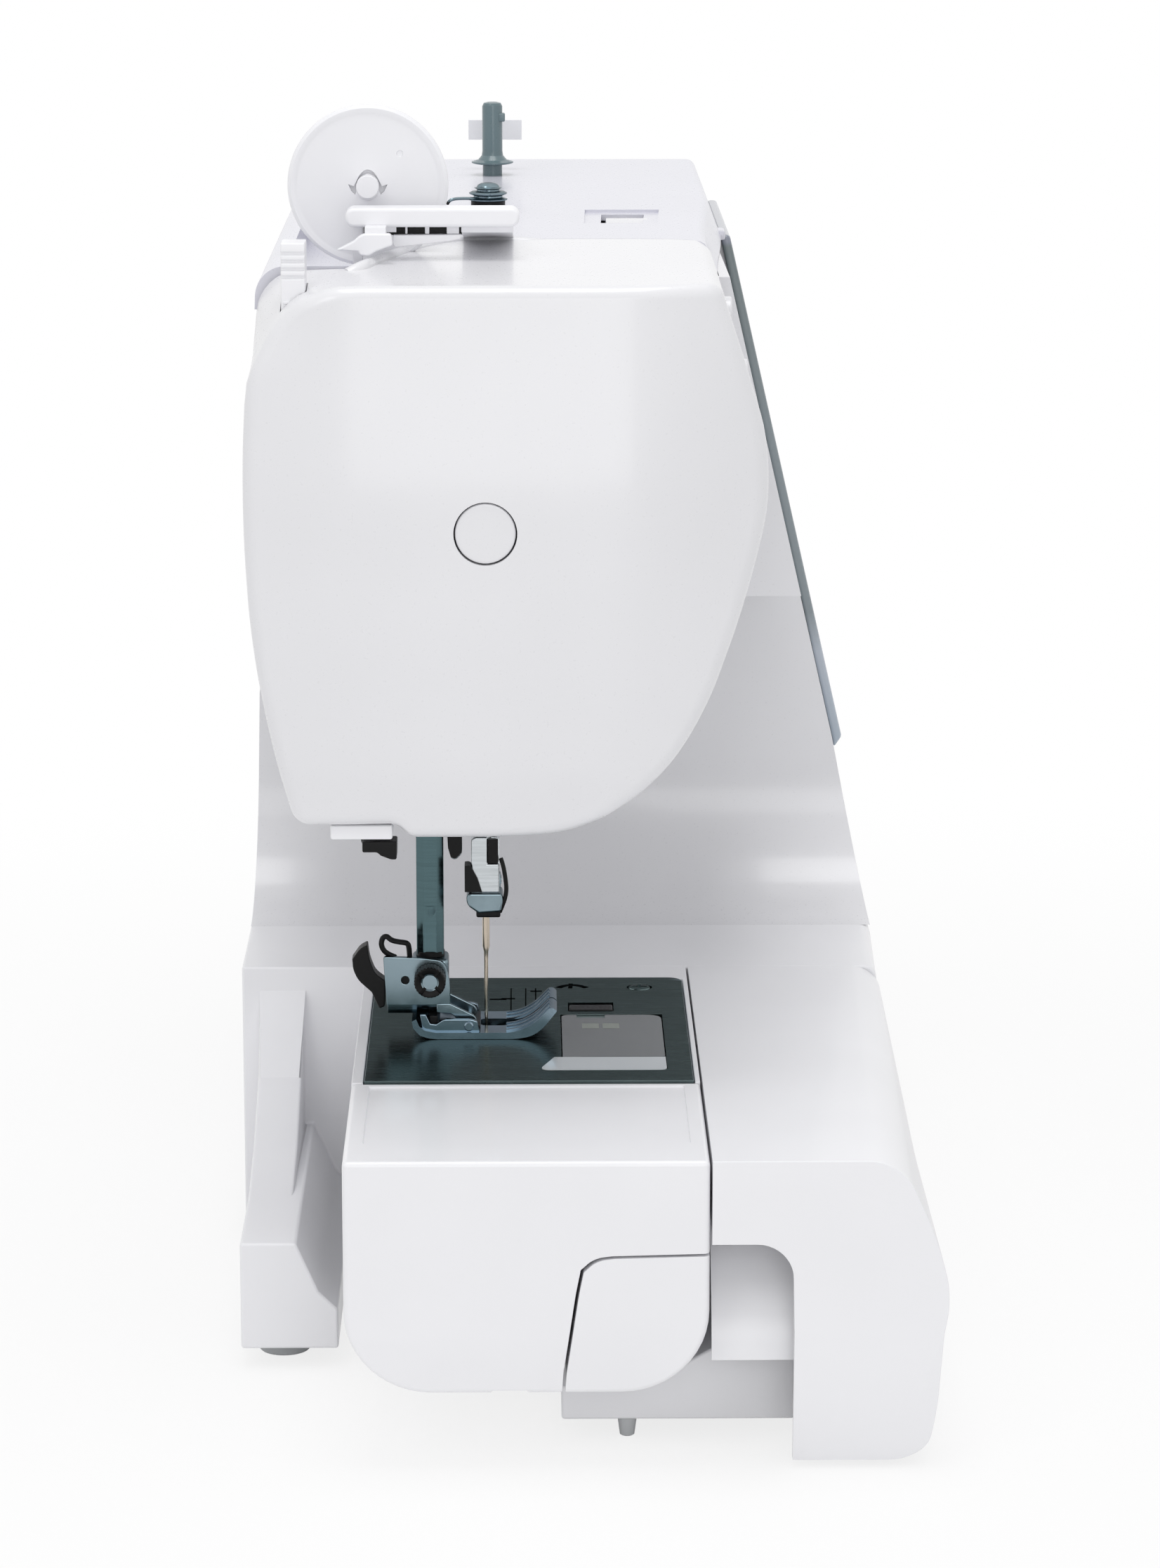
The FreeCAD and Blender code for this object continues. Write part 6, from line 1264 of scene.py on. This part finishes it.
class SEWING_OT_controls(bpy.types.Operator):
    """Model the control panel, buttons, handwheel, power socket, switch and feet"""

    bl_idname = "sewing.controls"
    bl_label = "Controls and feet"

    def execute(self, context):
        for node, width in SOFTENED.items():
            piece = copied(node, node + "_finished")
            if node == "display_window":
                move(piece, lambda place: Vector((0, WINDOW_SINK * MM, 0)))
            finish = "cover_white" if node in WHITE_CONTROLS else None
            stand_for(smooth(soften(piece, width, 3)), node, finish=finish)
        foot = turned("runner_foot", spot(27, -25.8, 0), "Z", ((1.5, 0.05), (1.9, 0.3), (2.6, 5.6)), 32)
        extra(smooth(foot), "machine", "foot_rubber")
        return {"FINISHED"}


class SEWING_OT_inside(bpy.types.Operator):
    """Finish the frame, shafts, motor and the other pieces that keep their CAD shape"""

    bl_idname = "sewing.inside"
    bl_label = "Frame and drive"

    def execute(self, context):
        for node, obj in frame["nodes"].items():
            for slot in obj.material_slots:
                slot.material = material(SLOT_OF[node])
        return {"FINISHED"}


# Each light's place, the point it faces and its side, in metres.
LAMPS = {
    "key": ((-1.1, 0.7, 1.2), (-0.1, 0.0, 0.15), 0.5),
    "top": ((-0.2, 0.0, 1.5), (-0.05, 0.0, 0.15), 0.7),
    "front": ((-1.4, -0.1, 0.45), (-0.15, 0.0, 0.06), 0.6),
}
# The camera's place in metres, its lens, and the degrees it looks down and aside from the machine's length.
CAMERA_PLACE = (-1.3521, 0.0125, 0.4388)
CAMERA_LENS = 110.273
LOOK_DOWN = 12.740
LOOK_ASIDE = 0.662
# How far the floor lies below the feet, in metres, so that the two never meet.
FLOOR_DROP = 0.0004


class SEWING_OT_stage(bpy.types.Operator):
    """Set the pale floor, the soft lights and the camera"""

    bl_idname = "sewing.stage"
    bl_label = "Stage"

    def execute(self, context):
        look = context.scene.machine_stage
        bpy.ops.object.select_all(action="DESELECT")
        bpy.ops.mesh.primitive_plane_add(size=8.0, location=(0, 0, -FLOOR_DROP))
        floor = named("floor")
        floor.data.materials.append(floor_finish())
        world_light(context.scene, look.surround)
        for name, (place, aim, size) in LAMPS.items():
            lamp(name, place, aim, size, getattr(look, name))
        camera(context.scene)
        context.scene.view_settings.view_transform = "Standard"
        return {"FINISHED"}


def lamp(name, place, aim, size, power):
    """A square soft light that faces a point."""
    bpy.ops.object.light_add(type="AREA", location=place)
    light = bpy.context.object
    light.name = name
    light.data.shape = "SQUARE"
    light.data.size = size
    light.data.energy = power
    light.rotation_euler = (Vector(aim) - Vector(place)).to_track_quat("-Z", "Y").to_euler()


def outcome(tree, operation, *values):
    """The outcome of a sum on two values."""
    made = add_node(tree, "Math", *values)
    made.operation = operation
    return made.outputs[0]


def camera_sees(tree):
    """1 where the camera looks, straight or through gloss and glass, else 0."""
    rays = add_node(tree, "LightPath").outputs
    straight = outcome(tree, "MAXIMUM", rays["Is Camera Ray"], rays["Is Glossy Ray"])
    return outcome(tree, "MAXIMUM", straight, rays["Is Transmission Ray"])


def world_light(scene, strength):
    """Even light from all round, white where the camera sees it."""
    world = bpy.data.worlds.new("studio")
    world.use_nodes = True
    scene.world = world
    tree = world.node_tree
    background = tree.nodes["Background"]
    background.inputs["Color"].default_value = (1, 1, 1, 1)
    level = add_node(tree, "MapRange", Value=camera_sees(tree), To_Min=strength, To_Max=1.0)
    tree.links.new(level.outputs["Result"], background.inputs["Strength"])


def floor_finish():
    """A pale floor that keeps the machine's shadow near it and turns white further out."""
    mat, tree, shader = plain("floor_pale", (0.9, 0.9, 0.9, 1), 0.6, Specular_IOR_Level=0.0)
    paint(tree, shader, noise(tree, 4.0), ((0.3, (0.9, 0.9, 0.9, 1)), (0.7, (0.91, 0.91, 0.91, 1))))
    away = add_node(tree, "VectorMath", add_node(tree, "TexCoord").outputs["Object"])
    away.operation = "LENGTH"
    fade = add_node(tree, "MapRange", Value=away.outputs["Value"], From_Min=0.2, From_Max=0.6, To_Min=0.8)
    fade.interpolation_type = "SMOOTHSTEP"
    share = outcome(tree, "MULTIPLY", camera_sees(tree), fade.outputs["Result"])
    glow = add_node(tree, "Emission", Strength=1.0)
    mix = add_node(tree, "MixShader", share, shader.outputs["BSDF"], glow.outputs["Emission"])
    tree.links.new(mix.outputs["Shader"], tree.nodes["Material Output"].inputs["Surface"])
    return mat


def camera(scene):
    """The camera at the free end of the arm, looking a little down along it."""
    bpy.ops.object.camera_add(location=CAMERA_PLACE)
    cam = bpy.context.object
    cam.data.sensor_width = 36.0
    cam.data.sensor_fit = "AUTO"
    cam.data.lens = CAMERA_LENS
    cam.rotation_euler = Euler((math.radians(90 - LOOK_DOWN), 0, math.radians(-90 - LOOK_ASIDE)))
    scene.camera = cam


class MachineFinishes(bpy.types.PropertyGroup):
    """Colours of the machine"""

    cover: bpy.props.FloatVectorProperty(
        name="Covers", description="Colour of the white covers", subtype="COLOR",
        size=3, min=0, max=1, default=rgb(228, 228, 231)[:3])
    table: bpy.props.FloatVectorProperty(
        name="Table", description="Colour of the extension table", subtype="COLOR",
        size=3, min=0, max=1, default=rgb(238, 238, 241)[:3])
    plate: bpy.props.FloatVectorProperty(
        name="Needle plate", description="Colour of the needle plate", subtype="COLOR",
        size=3, min=0, max=1, default=rgb(98, 112, 112)[:3])


class MachineStage(bpy.types.PropertyGroup):
    """Strengths of the lights"""

    surround: bpy.props.FloatProperty(
        name="Surround", description="Strength of the even light from all round", default=0.68, min=0)
    key: bpy.props.FloatProperty(
        name="Key light", description="Power of the light at the rear left", default=1.9, min=0)
    top: bpy.props.FloatProperty(
        name="Top light", description="Power of the light overhead", default=6.0, min=0)
    front: bpy.props.FloatProperty(
        name="Front light", description="Power of the light at the arm's free end", default=2.0, min=0)


STEPS = (
    SEWING_OT_inside,
    SEWING_OT_covers,
    SEWING_OT_plate,
    SEWING_OT_needle,
    SEWING_OT_presser,
    SEWING_OT_top,
    SEWING_OT_controls,
    SEWING_OT_stage,
)


class SEWING_PT_panel(bpy.types.Panel):
    """Steps that build the sewing machine"""

    bl_label = "Sewing Machine"
    bl_idname = "SEWING_PT_panel"
    bl_space_type = "VIEW_3D"
    bl_region_type = "UI"
    bl_category = "Sewing Machine"

    def draw(self, context):
        for group in (context.scene.machine_finishes, context.scene.machine_stage):
            for key in group.__annotations__:
                self.layout.prop(group, key)
        for step in STEPS:
            self.layout.operator(step.bl_idname)


CLASSES = (MachineFinishes, MachineStage) + STEPS + (SEWING_PT_panel,)


def register():
    for item in CLASSES:
        bpy.utils.register_class(item)
    bpy.types.Scene.machine_finishes = bpy.props.PointerProperty(type=MachineFinishes)
    bpy.types.Scene.machine_stage = bpy.props.PointerProperty(type=MachineStage)


def unregister():
    del bpy.types.Scene.machine_stage
    del bpy.types.Scene.machine_finishes
    for item in reversed(CLASSES):
        bpy.utils.unregister_class(item)


def main():
    """Builds the machine step by step."""
    register()
    bpy.ops.object.select_all(action="DESELECT")
    for step in STEPS:
        family, name = step.bl_idname.split(".")
        getattr(getattr(bpy.ops, family), name)()


if __name__ == "__main__":
    main()
